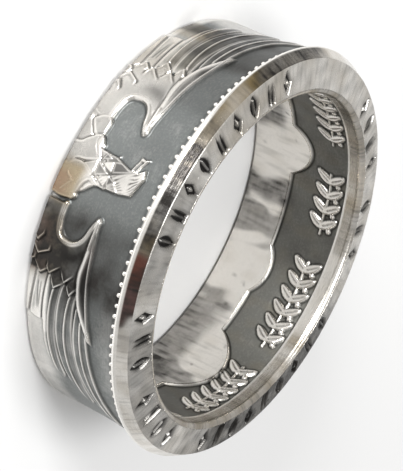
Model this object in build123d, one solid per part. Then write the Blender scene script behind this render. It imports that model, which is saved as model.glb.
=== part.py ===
from build123d import *
import os
from math import cos, hypot, radians, sin
from typing import NamedTuple

# Finger ring folded from one struck silver coin, in millimetres, lying on its cut edge.
# The ring's axis is +Z. The cut edge rests at z = 0 and the coin's own edge faces up.
# The outer field carries a heraldic eagle whose head stands at -Y, towards the raised border.

# Driving sizes of the band
bore_radius = 9.55
band_width = 7.35
cut_edge_radius = 11.2
cut_edge_land = 0.55
cut_edge_round = 0.28
shoulder_radius = 11.52
waist_hollow = 0.1
lip_round = 0.3

# The coin's rim, its bevel and the edge face
rim_height = 0.38
rim_land = 0.12
rim_round = 0.05
bevel_drop = 0.4
bevel_length = 0.72
face_rise = 0.34

# Inside: a recessed band between two lands that carry the finger
inner_recess = 0.16
lip_land = 0.95
lower_land = 2.7
inner_slope = 0.12

# Heights of the relief above the field
ground_relief = 0.12
feather_relief = 0.21
crest_relief = 0.3

# Border beads, edge marks and inner ornaments
bead_count = 120
bead_radius = 0.17
bead_gap = 0.05
mark_depth = 0.12
mark_length = 1.25
mark_width = 0.5
mark_bar_width = 0.12
mark_bar_offset = 0.15
ornament_relief = 0.11
ornament_share = 0.64
leaf_length = 1.0
leaf_width = 0.4
leaf_tilt = 58.0
leaf_overlap = 0.14
berry_radius = 0.15
berry_offset = 0.47
swell_root = 0.5

# Where the eagle stands, counted from +X, and the turn from its centre line to each wing's own plane
eagle_azimuth = -90.0
wing_turn = 38.0


class Feather(NamedTuple):
    """A wing feather. Degrees run out from the eagle's centre line, and heights are shares of the field."""

    root: float
    root_low: float
    root_high: float
    middle: float
    middle_low: float
    middle_high: float
    tip: float
    tip_low: float
    tip_high: float


WING_FEATHERS = [
    Feather(45.0, 0.640, 0.715, 60.0, 0.675, 0.755, 82.0, 0.865, 0.895),
    Feather(43.0, 0.545, 0.610, 60.0, 0.575, 0.650, 79.0, 0.745, 0.800),
    Feather(38.0, 0.460, 0.520, 57.0, 0.465, 0.550, 76.0, 0.610, 0.680),
    Feather(37.0, 0.370, 0.435, 54.0, 0.360, 0.440, 72.0, 0.480, 0.550),
    Feather(37.0, 0.285, 0.345, 52.0, 0.265, 0.335, 69.0, 0.355, 0.415),
    Feather(36.0, 0.205, 0.260, 50.0, 0.185, 0.245, 64.0, 0.245, 0.290),
    Feather(34.0, 0.125, 0.180, 41.0, 0.120, 0.180, 47.5, 0.125, 0.175),
    Feather(33.0, 0.060, 0.100, 40.0, 0.055, 0.100, 46.0, 0.060, 0.095),
]
feather_gap_share = 0.012
feather_ground_share = 0.02


class Spot(NamedTuple):
    """A point of an outline: degrees from the eagle's centre line, and a share of the field's height."""

    degrees: float
    share: float


# The wing's arm: a crescent from the hook out to the first long feather, hollow along its middle
ARM_ROOT = Spot(13.4, 0.590)
ARM_TOP = Spot(30.0, 0.655)
ARM_TIP = Spot(46.5, 0.730)
ARM_FOOT = Spot(30.0, 0.512)
DIP_ROOT = Spot(20.0, 0.586)
DIP_TOP = Spot(31.0, 0.626)
DIP_TIP = Spot(42.5, 0.686)
DIP_FOOT = Spot(31.0, 0.548)
hook_radius = 0.19

# The round hollow between the wing and the neck, from under the hook down to the chest, and its raised rim
HOLLOW = [Spot(13.4, 0.575), Spot(15.6, 0.533), Spot(18.5, 0.506), Spot(22.2, 0.374), Spot(20.0, 0.193)]
hollow_rim_width = 0.22

# The shoulder's other edges, on from the hollow's foot and back to the hook
SHOULDER = [
    Spot(12.6, 0.17),
    Spot(12.2, 0.05),
    Spot(34.0, 0.05),
    Spot(38.0, 0.26),
    Spot(41.0, 0.45),
    Spot(44.0, 0.69),
]

# The chest and neck, and the head with its hooked beak turned to one side
CHEST = [
    Spot(-12.4, 0.05),
    Spot(-12.0, 0.19),
    Spot(-10.5, 0.25),
    Spot(-6.0, 0.27),
    Spot(-4.6, 0.32),
    Spot(-4.2, 0.46),
    Spot(-4.2, 0.62),
    Spot(4.6, 0.62),
    Spot(4.4, 0.46),
    Spot(5.4, 0.32),
    Spot(7.5, 0.25),
    Spot(10.5, 0.21),
    Spot(11.6, 0.05),
]
HEAD = [
    Spot(-3.4, 0.56),
    Spot(-4.0, 0.66),
    Spot(-3.4, 0.69),
    Spot(-4.4, 0.725),
    Spot(-6.4, 0.72),
    Spot(-7.4, 0.68),
    Spot(-8.0, 0.715),
    Spot(-7.2, 0.765),
    Spot(-5.2, 0.785),
    Spot(-4.0, 0.80),
    Spot(2.6, 0.80),
    Spot(4.2, 0.765),
    Spot(4.9, 0.56),
]


class ScaleRow(NamedTuple):
    """A row of small pointed feathers: degrees of the row, the share where it starts, and how many."""

    degrees: float
    first_share: float
    count: int


SCALE_ROWS = [
    ScaleRow(25.5, 0.125, 3),
    ScaleRow(29.0, 0.075, 4),
    ScaleRow(32.5, 0.125, 4),
    ScaleRow(36.0, 0.27, 2),
]
scale_pitch_share = 0.1
scale_length = 0.75
scale_width_share = 0.08


class Hackle(NamedTuple):
    """A pointed neck feather: where its top is, how wide it is, and how far it hangs as a share."""

    degrees: float
    top_share: float
    width_degrees: float
    drop_share: float


HACKLES = [
    Hackle(0.6, 0.68, 5.0, 0.16),
    Hackle(-1.7, 0.52, 3.4, 0.16),
    Hackle(2.6, 0.52, 3.4, 0.16),
    Hackle(0.5, 0.37, 4.0, 0.16),
]
hackle_shoulder = 0.4


class Curl(NamedTuple):
    """A curled feather at the foot of the neck: its two ends and its middle."""

    start: Spot
    middle: Spot
    end: Spot


CURLS = [
    Curl(Spot(-2.6, 0.325), Spot(-5.2, 0.245), Spot(-8.4, 0.240)),
    Curl(Spot(3.0, 0.300), Spot(5.2, 0.245), Spot(8.2, 0.240)),
]
curl_width = 0.16


class MarkGroup(NamedTuple):
    """A run of sunk marks on the edge face: first azimuth, pitch and how many."""

    first_degrees: float
    pitch_degrees: float
    count: int


EDGE_MARKS = [
    MarkGroup(-143.0, 8.0, 9),
    MarkGroup(-56.0, 7.8, 3),
    MarkGroup(-25.0, 8.0, 4),
    MarkGroup(21.0, 8.0, 9),
    MarkGroup(108.0, 7.8, 3),
    MarkGroup(139.0, 8.0, 4),
]


class Sprig(NamedTuple):
    """A raised laurel sprig inside the ring: where its foot is, and its leaf pairs' pitch and count."""

    foot_degrees: float
    pitch_degrees: float
    count: int


SPRIGS = [
    Sprig(68.0, 5.4, 6),
    Sprig(111.0, 5.4, 4),
    Sprig(145.0, 5.4, 6),
    Sprig(188.0, 5.4, 6),
    Sprig(231.0, 5.4, 4),
    Sprig(265.0, 5.4, 6),
    Sprig(308.0, 5.4, 6),
    Sprig(351.0, 5.4, 4),
    Sprig(385.0, 5.4, 6),
]


class Swell(NamedTuple):
    """A lobe of the polished land's wavy edge: where it is, half its width, and its share of the recess."""

    degrees: float
    half_width: float
    share: float


SWELLS = [
    Swell(50.0, 17.0, 0.55),
    Swell(92.0, 9.0, 0.16),
    Swell(137.0, 10.0, 0.34),
    Swell(182.0, 16.0, 0.45),
    Swell(226.0, 10.0, 0.25),
    Swell(262.0, 15.0, 0.50),
    Swell(305.0, 12.0, 0.30),
    Swell(345.0, 14.0, 0.42),
]

# Worked out from the driving sizes
rim_radius = shoulder_radius + rim_height
face_outer_radius = rim_radius - bevel_drop
face_slope = face_rise / (face_outer_radius - bore_radius)
face_inner_height = band_width + lip_round * (face_slope + hypot(1, face_slope) - 1)
face_outer_height = face_inner_height - face_rise
rim_top = face_outer_height - bevel_length
rim_foot = rim_top - rim_land - rim_height / 2
field_height = rim_foot
field_middle = (cut_edge_land + field_height) / 2
waist_radius = (cut_edge_radius + shoulder_radius) / 2 - waist_hollow
field_radius = (cut_edge_radius + shoulder_radius) / 2
recess_radius = bore_radius + inner_recess
recess_top = band_width - lip_land
thinnest_radius = min(cut_edge_radius, waist_radius, shoulder_radius)
core_radius = (recess_radius + thinnest_radius) / 2


def section_line():
    """The band's section in the XZ plane: straight stretches, rounded corners and one arc for the field."""
    corners = [
        ((shoulder_radius, field_height), None),
        ((rim_radius, rim_top - rim_land), rim_round),
        ((rim_radius, rim_top), rim_round),
        ((face_outer_radius, face_outer_height), rim_round),
        ((bore_radius, face_inner_height), lip_round),
        ((bore_radius, recess_top), 0),
        ((recess_radius, recess_top - inner_slope), 0),
        ((recess_radius, lower_land + inner_slope), 0),
        ((bore_radius, lower_land), 0),
        ((bore_radius, 0), cut_edge_round),
        ((cut_edge_radius, 0), cut_edge_round),
        ((cut_edge_radius, cut_edge_land), None),
    ]
    points = [(x, 0, z) for (x, z), _ in corners]
    rounds = [r for _, r in corners if r is not None]
    start = Vector(*points[-1])
    end = Vector(*points[0])
    return FilletPolyline(points, radius=rounds) + ThreePointArc(start, (waist_radius, 0, field_middle), end)


def band():
    """The plain ring, turned about its axis."""
    return revolve(make_face(section_line()), Axis.Z)


def relief_shell(height):
    """The space from inside the wall to a given height above the field."""
    foot = (cut_edge_radius + height, 0, cut_edge_land)
    low = (cut_edge_radius + height / 2, 0, cut_edge_round)
    waist = (waist_radius + height, 0, field_middle)
    top = (shoulder_radius + height, 0, field_height)
    core_top = (core_radius, 0, field_height)
    core_low = (core_radius, 0, cut_edge_round)
    outline = ThreePointArc(foot, waist, top) + Polyline(top, core_top, core_low, low, foot)
    return revolve(make_face(outline), Axis.Z)


def tangent_plane(azimuth):
    """A plane through the axis that faces outwards at an azimuth: x runs with the azimuth and y runs up."""
    out = (cos(radians(azimuth)), sin(radians(azimuth)), 0)
    along = (-sin(radians(azimuth)), cos(radians(azimuth)), 0)
    return Plane(origin=(0, 0, 0), x_dir=along, z_dir=out)


def spot(degrees, share, plane_degrees=0.0):
    """A place on the field, as x and y of the tangent plane at plane_degrees."""
    return field_radius * sin(radians(degrees - plane_degrees)), share * field_height


def feather_face(row, widen=0.0):
    """A feather's outline on its wing's plane, with arcs for its two long edges."""
    root_low = spot(row.root, row.root_low - widen, wing_turn)
    root_high = spot(row.root, row.root_high + widen, wing_turn)
    tip_low = spot(row.tip, row.tip_low - widen, wing_turn)
    tip_high = spot(row.tip, row.tip_high + widen, wing_turn)
    lower = ThreePointArc(root_low, spot(row.middle, row.middle_low - widen, wing_turn), tip_low)
    upper = ThreePointArc(tip_high, spot(row.middle, row.middle_high + widen, wing_turn), root_high)
    return make_face(lower + Line(tip_low, tip_high) + upper + Line(root_high, root_low))


def spots_on(spots, plane_degrees=0.0):
    """The places of a list of spots on the tangent plane at plane_degrees."""
    return [spot(s.degrees, s.share, plane_degrees) for s in spots]


def outline_face(spots):
    """A flat face through a table of spots on the eagle's centre plane."""
    return make_face(Polyline(*spots_on(spots), close=True))


def lens_face(root, top, tip, foot):
    """A face between two arcs that meet at a root and a tip, on the wing's plane."""
    root, top, tip, foot = spots_on([root, top, tip, foot], wing_turn)
    return make_face(ThreePointArc(root, top, tip) + ThreePointArc(tip, foot, root))


def hollow_line():
    """The hollow's edge on the wing's plane: a small arc under the hook and a large one to the chest."""
    hook, bend, meet, side, foot = spots_on(HOLLOW, wing_turn)
    return ThreePointArc(hook, bend, meet) + ThreePointArc(meet, side, foot)


def scale_faces():
    """The small pointed feathers between a wing's shoulder and its long feathers."""
    faces = Sketch()
    half = scale_width_share * field_height / 2
    for row in SCALE_ROWS:
        for i in range(row.count):
            x, y = spot(row.degrees, row.first_share + i * scale_pitch_share, wing_turn)
            corners = [(x - scale_length / 2, y), (x, y - half), (x + scale_length / 2, y), (x, y + half)]
            faces += make_face(Polyline(*corners, close=True))
    return faces


def wing_ground():
    """Everything of a wing that stands at the lowest height."""
    foot = spots_on([HOLLOW[-1], *SHOULDER, HOLLOW[0]], wing_turn)
    faces = make_face(hollow_line() + Polyline(*foot))
    for row in WING_FEATHERS:
        faces += feather_face(row, feather_ground_share)
    return faces


def wing_feathers():
    """The raised middle of each long feather, and the scale feathers."""
    faces = scale_faces()
    for row in WING_FEATHERS:
        faces += feather_face(row, -feather_gap_share)
    return faces


def wing_crest():
    """The wing's arm with the round hook at its shoulder, and the hollow's rim, which stand highest."""
    arm = lens_face(ARM_ROOT, ARM_TOP, ARM_TIP, ARM_FOOT) - lens_face(DIP_ROOT, DIP_TOP, DIP_TIP, DIP_FOOT)
    hook = Pos(*spot(ARM_ROOT.degrees, ARM_ROOT.share, wing_turn)) * Circle(hook_radius)
    return arm + hook + trace(hollow_line(), hollow_rim_width)


def hackles():
    """The pointed neck feathers."""
    faces = Sketch()
    for row in HACKLES:
        half = row.width_degrees / 2
        corners = [
            spot(row.degrees, row.top_share - row.drop_share),
            spot(row.degrees + half, row.top_share - row.drop_share * hackle_shoulder),
            spot(row.degrees, row.top_share),
            spot(row.degrees - half, row.top_share - row.drop_share * hackle_shoulder),
        ]
        faces += make_face(Polyline(*corners, close=True))
    return faces


def curls():
    """The curled feathers at the foot of the neck."""
    faces = Sketch()
    for curl in CURLS:
        faces += trace(ThreePointArc(*spots_on(curl)), curl_width)
    return faces


def raised(faces, azimuth, shell):
    """Faces on the tangent plane at an azimuth, carried out through the wall to the shell's surface."""
    plane = tangent_plane(azimuth)
    return (extrude(plane * faces, amount=2 * rim_radius, dir=plane.z_dir) & shell).solids()


def eagle():
    """The relief on the outer field, as solids that root in the wall. The wings mirror each other."""
    ground = relief_shell(ground_relief)
    feathers = relief_shell(feather_relief)
    crest = relief_shell(crest_relief)
    body = raised(outline_face(CHEST), eagle_azimuth, ground)
    body += raised(outline_face(HEAD), eagle_azimuth, feathers)
    body += raised(hackles() + curls(), eagle_azimuth, crest)
    wing = raised(wing_ground(), eagle_azimuth + wing_turn, ground)
    wing += raised(wing_feathers(), eagle_azimuth + wing_turn, feathers)
    wing += raised(wing_crest(), eagle_azimuth + wing_turn, crest)
    mirror_plane = Plane(origin=(0, 0, 0), z_dir=tangent_plane(eagle_azimuth).x_dir)
    return body + wing + [mirror(piece, mirror_plane) for piece in wing]


def beads():
    """The row of small beads beside the border."""
    height = field_height - bead_radius - bead_gap
    ball = Pos(shoulder_radius - bead_gap, 0, height) * Rot(0, 90, 0) * Sphere(bead_radius)
    return [Rot(0, 0, 360 * (i + 0.5) / bead_count) * ball for i in range(bead_count)]


def edge_mark(kind):
    """One sunk mark at azimuth 0, square to the edge face: a lozenge, twin bars or a pointed oval."""
    along = Vector(bore_radius - face_outer_radius, 0, face_rise)
    middle_radius = (bore_radius + lip_round + face_outer_radius) / 2
    height = face_outer_height + face_slope * (face_outer_radius - middle_radius)
    out = Vector(0, 1, 0).cross(along).normalized()
    if out.Z < 0:
        out = out * -1
    plane = Plane(origin=(middle_radius, 0, height), x_dir=(0, 1, 0), z_dir=out)
    half_width = mark_width / 2
    half_length = mark_length / 2
    if kind == 0:
        corners = [(half_width, 0), (0, half_length), (-half_width, 0), (0, -half_length)]
        face = make_face(Polyline(*corners, close=True))
    elif kind == 1:
        bar = Rectangle(mark_bar_width, mark_length)
        face = Pos(mark_bar_offset, 0) * bar + Pos(-mark_bar_offset, 0) * bar
    else:
        tip = (0, half_length)
        foot = (0, -half_length)
        right = ThreePointArc(foot, (half_width, 0), tip)
        face = make_face(right + ThreePointArc(tip, (-half_width, 0), foot))
    return extrude(plane * face, amount=mark_depth, both=True)


def edge_marks():
    """The sunk marks all round the edge face."""
    tools = []
    kinds = [edge_mark(kind) for kind in range(3)]
    for group in EDGE_MARKS:
        for i in range(group.count):
            turn = Rot(0, 0, group.first_degrees + i * group.pitch_degrees)
            tools += (turn * kinds[i % len(kinds)]).solids()
    return tools


def inner_shell():
    """The space inside the recess that raised ornaments may fill."""
    section = Polyline(
        (recess_radius - ornament_relief, 0, lower_land),
        (recess_radius - ornament_relief, 0, recess_top),
        (core_radius, 0, recess_top),
        (core_radius, 0, lower_land),
        close=True,
    )
    return revolve(make_face(section), Axis.Z)


def leaf_pair():
    """Two leaves that spread from one foot, and a berry beside them, on a tangent plane."""
    foot = (0, 0)
    middle = leaf_length / 2
    tip = (leaf_length, 0)
    bulge = leaf_width / 2
    leaf = make_face(ThreePointArc(foot, (middle, bulge), tip) + ThreePointArc(tip, (middle, -bulge), foot))
    height = lower_land + ornament_share * (recess_top - lower_land)
    leaf = Pos(-leaf_overlap, 0) * leaf
    pair = Rot(0, 0, leaf_tilt) * leaf + Rot(0, 0, -leaf_tilt) * leaf
    return Pos(0, height) * (pair + Pos(-berry_radius, berry_offset) * Circle(berry_radius))


def sprigs():
    """The laurel sprigs, raised on the recess."""
    start = 180.0
    plane = tangent_plane(start)
    pair = extrude(plane * leaf_pair(), amount=core_radius, dir=plane.z_dir) & inner_shell()
    pieces = []
    for sprig in SPRIGS:
        for i in range(sprig.count):
            azimuth = sprig.foot_degrees + (i + 0.5) * sprig.pitch_degrees
            pieces += (Rot(0, 0, azimuth - start) * pair).solids()
    return pieces


def swells():
    """The lobes that make the upper edge of the polished land wavy."""
    section = Polyline(
        (bore_radius, 0, lower_land - swell_root),
        (bore_radius, 0, recess_top),
        (core_radius, 0, recess_top),
        (core_radius, 0, lower_land - swell_root),
        close=True,
    )
    shell = revolve(make_face(section), Axis.Z)
    pieces = []
    for lobe in SWELLS:
        reach = bore_radius * sin(radians(lobe.half_width))
        top = lower_land + lobe.share * (recess_top - lower_land)
        arc = ThreePointArc((-reach, lower_land), (0, top), (reach, lower_land))
        foot = lower_land - swell_root
        base = Polyline((reach, lower_land), (reach, foot), (-reach, foot), (-reach, lower_land))
        face = make_face(arc + base)
        plane = tangent_plane(lobe.degrees)
        pieces += (extrude(plane * face, amount=core_radius, dir=plane.z_dir) & shell).solids()
    return pieces


def ring_band():
    """The whole ring as one solid: the band, what is raised on it, and the marks sunk into its edge face."""
    ring = band()
    ring = ring.fuse(*swells())
    ring = ring.fuse(*sprigs())
    ring = ring.fuse(*beads())
    ring = ring.fuse(*eagle())
    return ring.cut(*edge_marks())


if __name__ == "__main__":
    os.makedirs("parts", exist_ok=True)
    export_step(ring_band(), "parts/ring_band.step")
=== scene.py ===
"""Looks of the coin ring: a finger ring folded from a struck silver coin, seen lying on its cut edge.

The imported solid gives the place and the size. Seven detailed pieces stand for it: four stretches of the
outer wall with its eagle, the rim and edge face, the inside with its laurel, and the row of border beads.
Lengths in the tables are millimetres and become metres when a mesh is made.
"""

import logging
import math
from dataclasses import dataclass
from enum import Enum
from typing import Any, NamedTuple

import bpy
import numpy as np
from mathutils import Matrix, Vector


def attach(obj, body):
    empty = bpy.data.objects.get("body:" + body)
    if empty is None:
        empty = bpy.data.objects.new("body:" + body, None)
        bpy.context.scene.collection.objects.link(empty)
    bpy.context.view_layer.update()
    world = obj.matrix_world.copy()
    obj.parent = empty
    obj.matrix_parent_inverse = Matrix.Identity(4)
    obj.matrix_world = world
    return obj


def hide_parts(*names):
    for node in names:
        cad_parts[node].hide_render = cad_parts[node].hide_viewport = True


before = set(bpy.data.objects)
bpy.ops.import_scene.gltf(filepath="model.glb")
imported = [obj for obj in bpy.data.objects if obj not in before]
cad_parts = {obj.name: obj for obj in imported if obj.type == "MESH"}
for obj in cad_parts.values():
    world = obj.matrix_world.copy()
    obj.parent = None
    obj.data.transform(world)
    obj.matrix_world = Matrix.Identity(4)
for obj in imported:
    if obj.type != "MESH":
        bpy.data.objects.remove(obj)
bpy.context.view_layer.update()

LOG = logging.getLogger("coin_ring")
MM = 0.001
EAGLE_AZIMUTH = -90.0

Array = np.ndarray
Tree = bpy.types.NodeTree
Place = tuple[float, float]
Line = list[Place]


@dataclass(frozen=True)
class BandSizes:
    """The band's sizes, as in the CAD source, in millimetres."""

    bore_radius: float = 9.55
    band_width: float = 7.35
    cut_edge_radius: float = 11.2
    cut_edge_land: float = 0.55
    cut_edge_round: float = 0.28
    shoulder_radius: float = 11.52
    waist_radius: float = 11.26
    rim_radius: float = 11.9
    rim_foot: float = 6.0368
    rim_land_foot: float = 6.2268
    rim_top: float = 6.3468
    face_radius: float = 11.5
    face_height: float = 7.0668
    face_slope: float = 0.17436
    lip_round: float = 0.3
    recess_radius: float = 9.71
    recess_top: float = 6.4
    recess_slope: float = 0.12
    lower_land: float = 2.7

    def field_arc(self, z: Array) -> Array:
        """The outer field, as one arc through its foot, its waist and its shoulder.

        Args:
            z: Heights in millimetres.

        Returns:
            The field's radius at each height.
        """
        low, high = self.cut_edge_land, self.rim_foot
        t = (np.clip(z, low, high) - low) / (high - low)
        chord = self.cut_edge_radius + (self.shoulder_radius - self.cut_edge_radius) * t
        middle = (self.cut_edge_radius + self.shoulder_radius) / 2
        return chord - 4 * (middle - self.waist_radius) * t * (1 - t)


SIZES = BandSizes()
FIELD_RADIUS = (SIZES.cut_edge_radius + SIZES.shoulder_radius) / 2


def hex_colour(code: str) -> tuple[float, float, float, float]:
    """Turns an sRGB hex value to a linear colour.

    Args:
        code: Six hex digits, with or without a leading hash.

    Returns:
        Red, green, blue and alpha, linear.
    """
    parts = [int(code.lstrip("#")[i : i + 2], 16) / 255 for i in (0, 2, 4)]
    linear = [c / 12.92 if c <= 0.04045 else ((c + 0.055) / 1.055) ** 2.4 for c in parts]
    return linear[0], linear[1], linear[2], 1.0


def smooth(low: float, high: float, value: Array) -> Array:
    """A soft step from 0 at low to 1 at high."""
    t = np.clip((value - low) / (high - low), 0, 1)
    return t * t * (3 - 2 * t)


def bump_at(value: Array, centre: float, width: float) -> Array:
    """A round hump of height 1 at a centre."""
    return np.exp(-(((value - centre) / width) ** 2))


def mottle(azimuth: Array, height: Array, size: float, seed: int, waves: int = 14) -> Array:
    """Soft random waves that close round the ring.

    Args:
        azimuth: Radians round the ring.
        height: Millimetres along the section.
        size: Usual length of a wave in millimetres.
        seed: Fixes the pattern.
        waves: How many waves are summed.

    Returns:
        Values of about -1 to 1.
    """
    rng = np.random.default_rng(seed)
    total = np.zeros(np.broadcast(azimuth, height).shape)
    for _ in range(waves):
        turn = rng.uniform(0, 2 * math.pi)
        length = size * rng.uniform(0.7, 1.6)
        around = round(math.cos(turn) * 2 * math.pi * FIELD_RADIUS / length)
        along = math.sin(turn) * 2 * math.pi / length
        total += np.cos(around * azimuth + along * height + rng.uniform(0, 2 * math.pi))
    return total / math.sqrt(waves / 2) * 0.6


class Spot(NamedTuple):
    """A point of an outline: degrees from the eagle's centre line, and a share of the field's height."""

    degrees: float
    share: float


def across(degrees: float) -> float:
    """Millimetres round the unrolled field for degrees from the eagle's centre line."""
    return FIELD_RADIUS * math.radians(degrees)


def up(share: float) -> float:
    """Height in millimetres for a share of the field's height."""
    return SIZES.rim_foot * share


def place(spot: Place) -> Place:
    """A spot in millimetres on the unrolled field."""
    return across(spot[0]), up(spot[1])


def places(spots: Line) -> Line:
    """Several spots in millimetres on the unrolled field."""
    return [place(spot) for spot in spots]


def bent_line(points: Line, count: int = 14) -> Line:
    """A smooth line through three or more places.

    Args:
        points: Places on the line, in order.
        count: Stretches between each two places.

    Returns:
        The places of the smooth line.
    """
    ends = [points[0], *points, points[-1]]
    line = []
    for p0, p1, p2, p3 in zip(ends, ends[1:], ends[2:], ends[3:]):
        for i in range(count):
            t = i / count
            middle = []
            for a, b, c, d in zip(p0, p1, p2, p3):
                bend = (2 * a - 5 * b + 4 * c - d) * t**2 + (3 * b - a - 3 * c + d) * t**3
                middle.append(0.5 * (2 * b + (c - a) * t + bend))
            line.append(tuple(middle))
    return line + [points[-1]]


def ring_of(spots: Line, count: int = 5) -> Line:
    """A smooth closed outline through spots of the field, in millimetres."""
    return bent_line(places([*spots, spots[0]]), count)


def line_distance(x: Array, y: Array, line: Line) -> Array:
    """Distance from each grid place to a line of straight stretches.

    Args:
        x: The grid's places across.
        y: The grid's places up.
        line: The line's corners.

    Returns:
        The distances.
    """
    best = np.full(x.shape, 1e9)
    for (ax, ay), (bx, by) in zip(line, line[1:]):
        dx, dy = bx - ax, by - ay
        t = np.clip(((x - ax) * dx + (y - ay) * dy) / max(dx * dx + dy * dy, 1e-12), 0, 1)
        best = np.minimum(best, (x - ax - t * dx) ** 2 + (y - ay - t * dy) ** 2)
    return np.sqrt(best)


def outline_distance(x: Array, y: Array, outline: Line) -> Array:
    """Distance from each grid place to a closed outline.

    Args:
        x: The grid's places across.
        y: The grid's places up.
        outline: The outline's corners.

    Returns:
        The distances, below zero inside the outline.
    """
    closed = [*outline, outline[0]]
    inside = np.zeros(x.shape, bool)
    for (ax, ay), (bx, by) in zip(closed, closed[1:]):
        if ay != by:
            crosses = (ay > y) != (by > y)
            inside ^= crosses & (x < (bx - ax) * (y - ay) / (by - ay) + ax)
    return np.where(inside, -1, 1) * line_distance(x, y, closed)


class Trim(NamedTuple):
    """A thin line beside an outline: how far inside it runs, its width, its height and its tone.

    A raised line is rubbed bright, and a line with a height below zero is cut and holds dirt.
    """

    inset: float
    width: float
    height: float
    tone: float


BLUNT_CUT = Trim(0.0, 0.04, -0.03, 0.6)
BLUNT_EDGE = Trim(0.06, 0.045, 0.025, 0.5)
QUILL = Trim(0.0, 0.055, 0.075, 1.0)
QUILL_SIDES = Trim(-0.12, 0.05, -0.02, 0.45)
FEATHER_EDGE = Trim(0.065, 0.05, 0.035, 0.75)
FEATHER_BARB = Trim(0.0, 0.03, -0.008, 0.2)
TOOTH_EDGE = Trim(0.055, 0.045, 0.022, 1.0)
TOOTH_CUT = Trim(0.19, 0.08, -0.02, 0.4)
ARM_OUTER = Trim(0.09, 0.07, 0.06, 0.85)
ARM_CRESCENT = Trim(0.16, 0.16, 0.08, 0.9)
CHEST_EDGE = Trim(0.07, 0.06, 0.02, 0.7)
PLATE_EDGE = Trim(0.06, 0.05, 0.02, 0.8)
HEAD_EDGE = Trim(0.05, 0.05, 0.03, 0.6)
FACET_EDGE = Trim(0.04, 0.04, 0.012, 0.8)


class Relief:
    """A height field over the unrolled band that pieces are laid on, one over another.

    Beside the height it keeps gleam, where a thin edge is rubbed bright or a highlight is painted, and
    shade, where dirt fills a line or shade is painted.
    """

    def __init__(self, x: Array, y: Array) -> None:
        """Starts flat over a grid.

        Args:
            x: The grid's places across, in millimetres.
            y: The grid's places up.
        """
        self.x = x
        self.y = y
        self.height, self.gleam, self.shade = (np.zeros(x.shape) for _ in range(3))

    def brighten(self, gleam: Array) -> None:
        """Makes places at least this bright, for rubbed edges and painted highlights."""
        self.gleam = np.maximum(self.gleam, gleam)

    def darken(self, shade: Array) -> None:
        """Makes places at least this dark, for dirt in lines and painted shade."""
        self.shade = np.maximum(self.shade, shade)

    def lay(self, distance: Array, top: Array | float, edge: float, groove: Array | float = 0.0) -> None:
        """Lays a piece with soft shoulders over what is there.

        Args:
            distance: Distance to the piece's outline, below zero inside.
            top: Height of the piece's top above the field.
            edge: Width of its shoulder.
            groove: Depth of the line cut round it.
        """
        line = bump_at(distance, 0.045, 0.055) * smooth(0.02, 0.06, self.height)
        self.height = self.height - groove * line
        self.darken(np.minimum(groove / 0.05, 1) * line)
        mask = smooth(edge / 2, -edge / 2, distance)
        self.height = self.height * (1 - mask) + np.maximum(top, self.height * 0.2) * mask
        self.gleam = self.gleam * (1 - mask)
        self.shade = self.shade * (1 - mask)

    def ridge(self, line: Line, width: float, height: float, over: bool = False, gleam: float = 0.0) -> None:
        """Raises a rounded ridge along a line.

        Args:
            line: Places along the ridge.
            width: The ridge's full width.
            height: Its top above the field, or above what it lies on.
            over: Adds it to what is there, where otherwise the higher of the two is kept.
            gleam: How brightly it is rubbed.
        """
        distance = line_distance(self.x, self.y, line)
        profile = smooth(width / 2, 0, distance)
        if over:
            self.height = self.height + height * profile
        else:
            self.height = np.maximum(self.height, height * profile)
        self.brighten(gleam * smooth(width * 0.4, 0, distance))

    def trim(self, trim: Trim, distance: Array, fade: Array | float = 1.0) -> None:
        """Raises or cuts a thin line a little inside an outline.

        Args:
            trim: The line.
            distance: Distance to the outline, below zero inside.
            fade: Where the line is kept, from 0 to 1.
        """
        line = bump_at(distance, -trim.inset, trim.width) * fade
        self.height = self.height + trim.height * line
        if trim.height > 0:
            self.brighten(trim.tone * line)
        else:
            self.darken(trim.tone * line)


class Feather(NamedTuple):
    """Half of a wing feather: the low and high edge at its root, middle and tip."""

    root: float
    root_low: float
    root_high: float
    middle: float
    middle_low: float
    middle_high: float
    tip: float
    tip_low: float
    tip_high: float


# Each long feather is the two halves on either side of its quill
FEATHER_HALVES = [
    (
        Feather(45.0, 0.640, 0.700, 60.0, 0.675, 0.755, 82.0, 0.865, 0.895),
        Feather(40.0, 0.555, 0.615, 60.0, 0.575, 0.650, 79.0, 0.745, 0.800),
    ),
    (
        Feather(38.0, 0.485, 0.545, 57.0, 0.465, 0.560, 76.0, 0.610, 0.690),
        Feather(37.0, 0.370, 0.470, 54.0, 0.356, 0.440, 72.0, 0.480, 0.550),
    ),
    (
        Feather(37.0, 0.305, 0.370, 52.0, 0.275, 0.345, 69.0, 0.355, 0.430),
        Feather(36.0, 0.218, 0.290, 50.0, 0.205, 0.255, 64.0, 0.245, 0.290),
    ),
    (
        Feather(34.0, 0.160, 0.240, 41.0, 0.155, 0.232, 47.5, 0.150, 0.215),
        Feather(33.0, 0.105, 0.160, 40.0, 0.085, 0.155, 47.0, 0.062, 0.150),
    ),
    (
        Feather(33.0, 0.020, 0.100, 39.0, -0.010, 0.080, 46.6, -0.040, 0.050),
        Feather(33.0, -0.120, -0.02, 39.0, -0.150, -0.03, 46.0, -0.180, -0.06),
    ),
]
# Where each feather starts under the small feathers, at its low and its high edge
FEATHER_ROOTS = [(35.0, 44.5), (28.0, 32.0), (28.0, 28.0), (27.0, 27.0), (26.0, 26.0)]


class Tooth(NamedTuple):
    """The pointed end of a small wing feather: its low back corner, its tip and its high back corner."""

    low: Spot
    tip: Spot
    high: Spot


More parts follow.
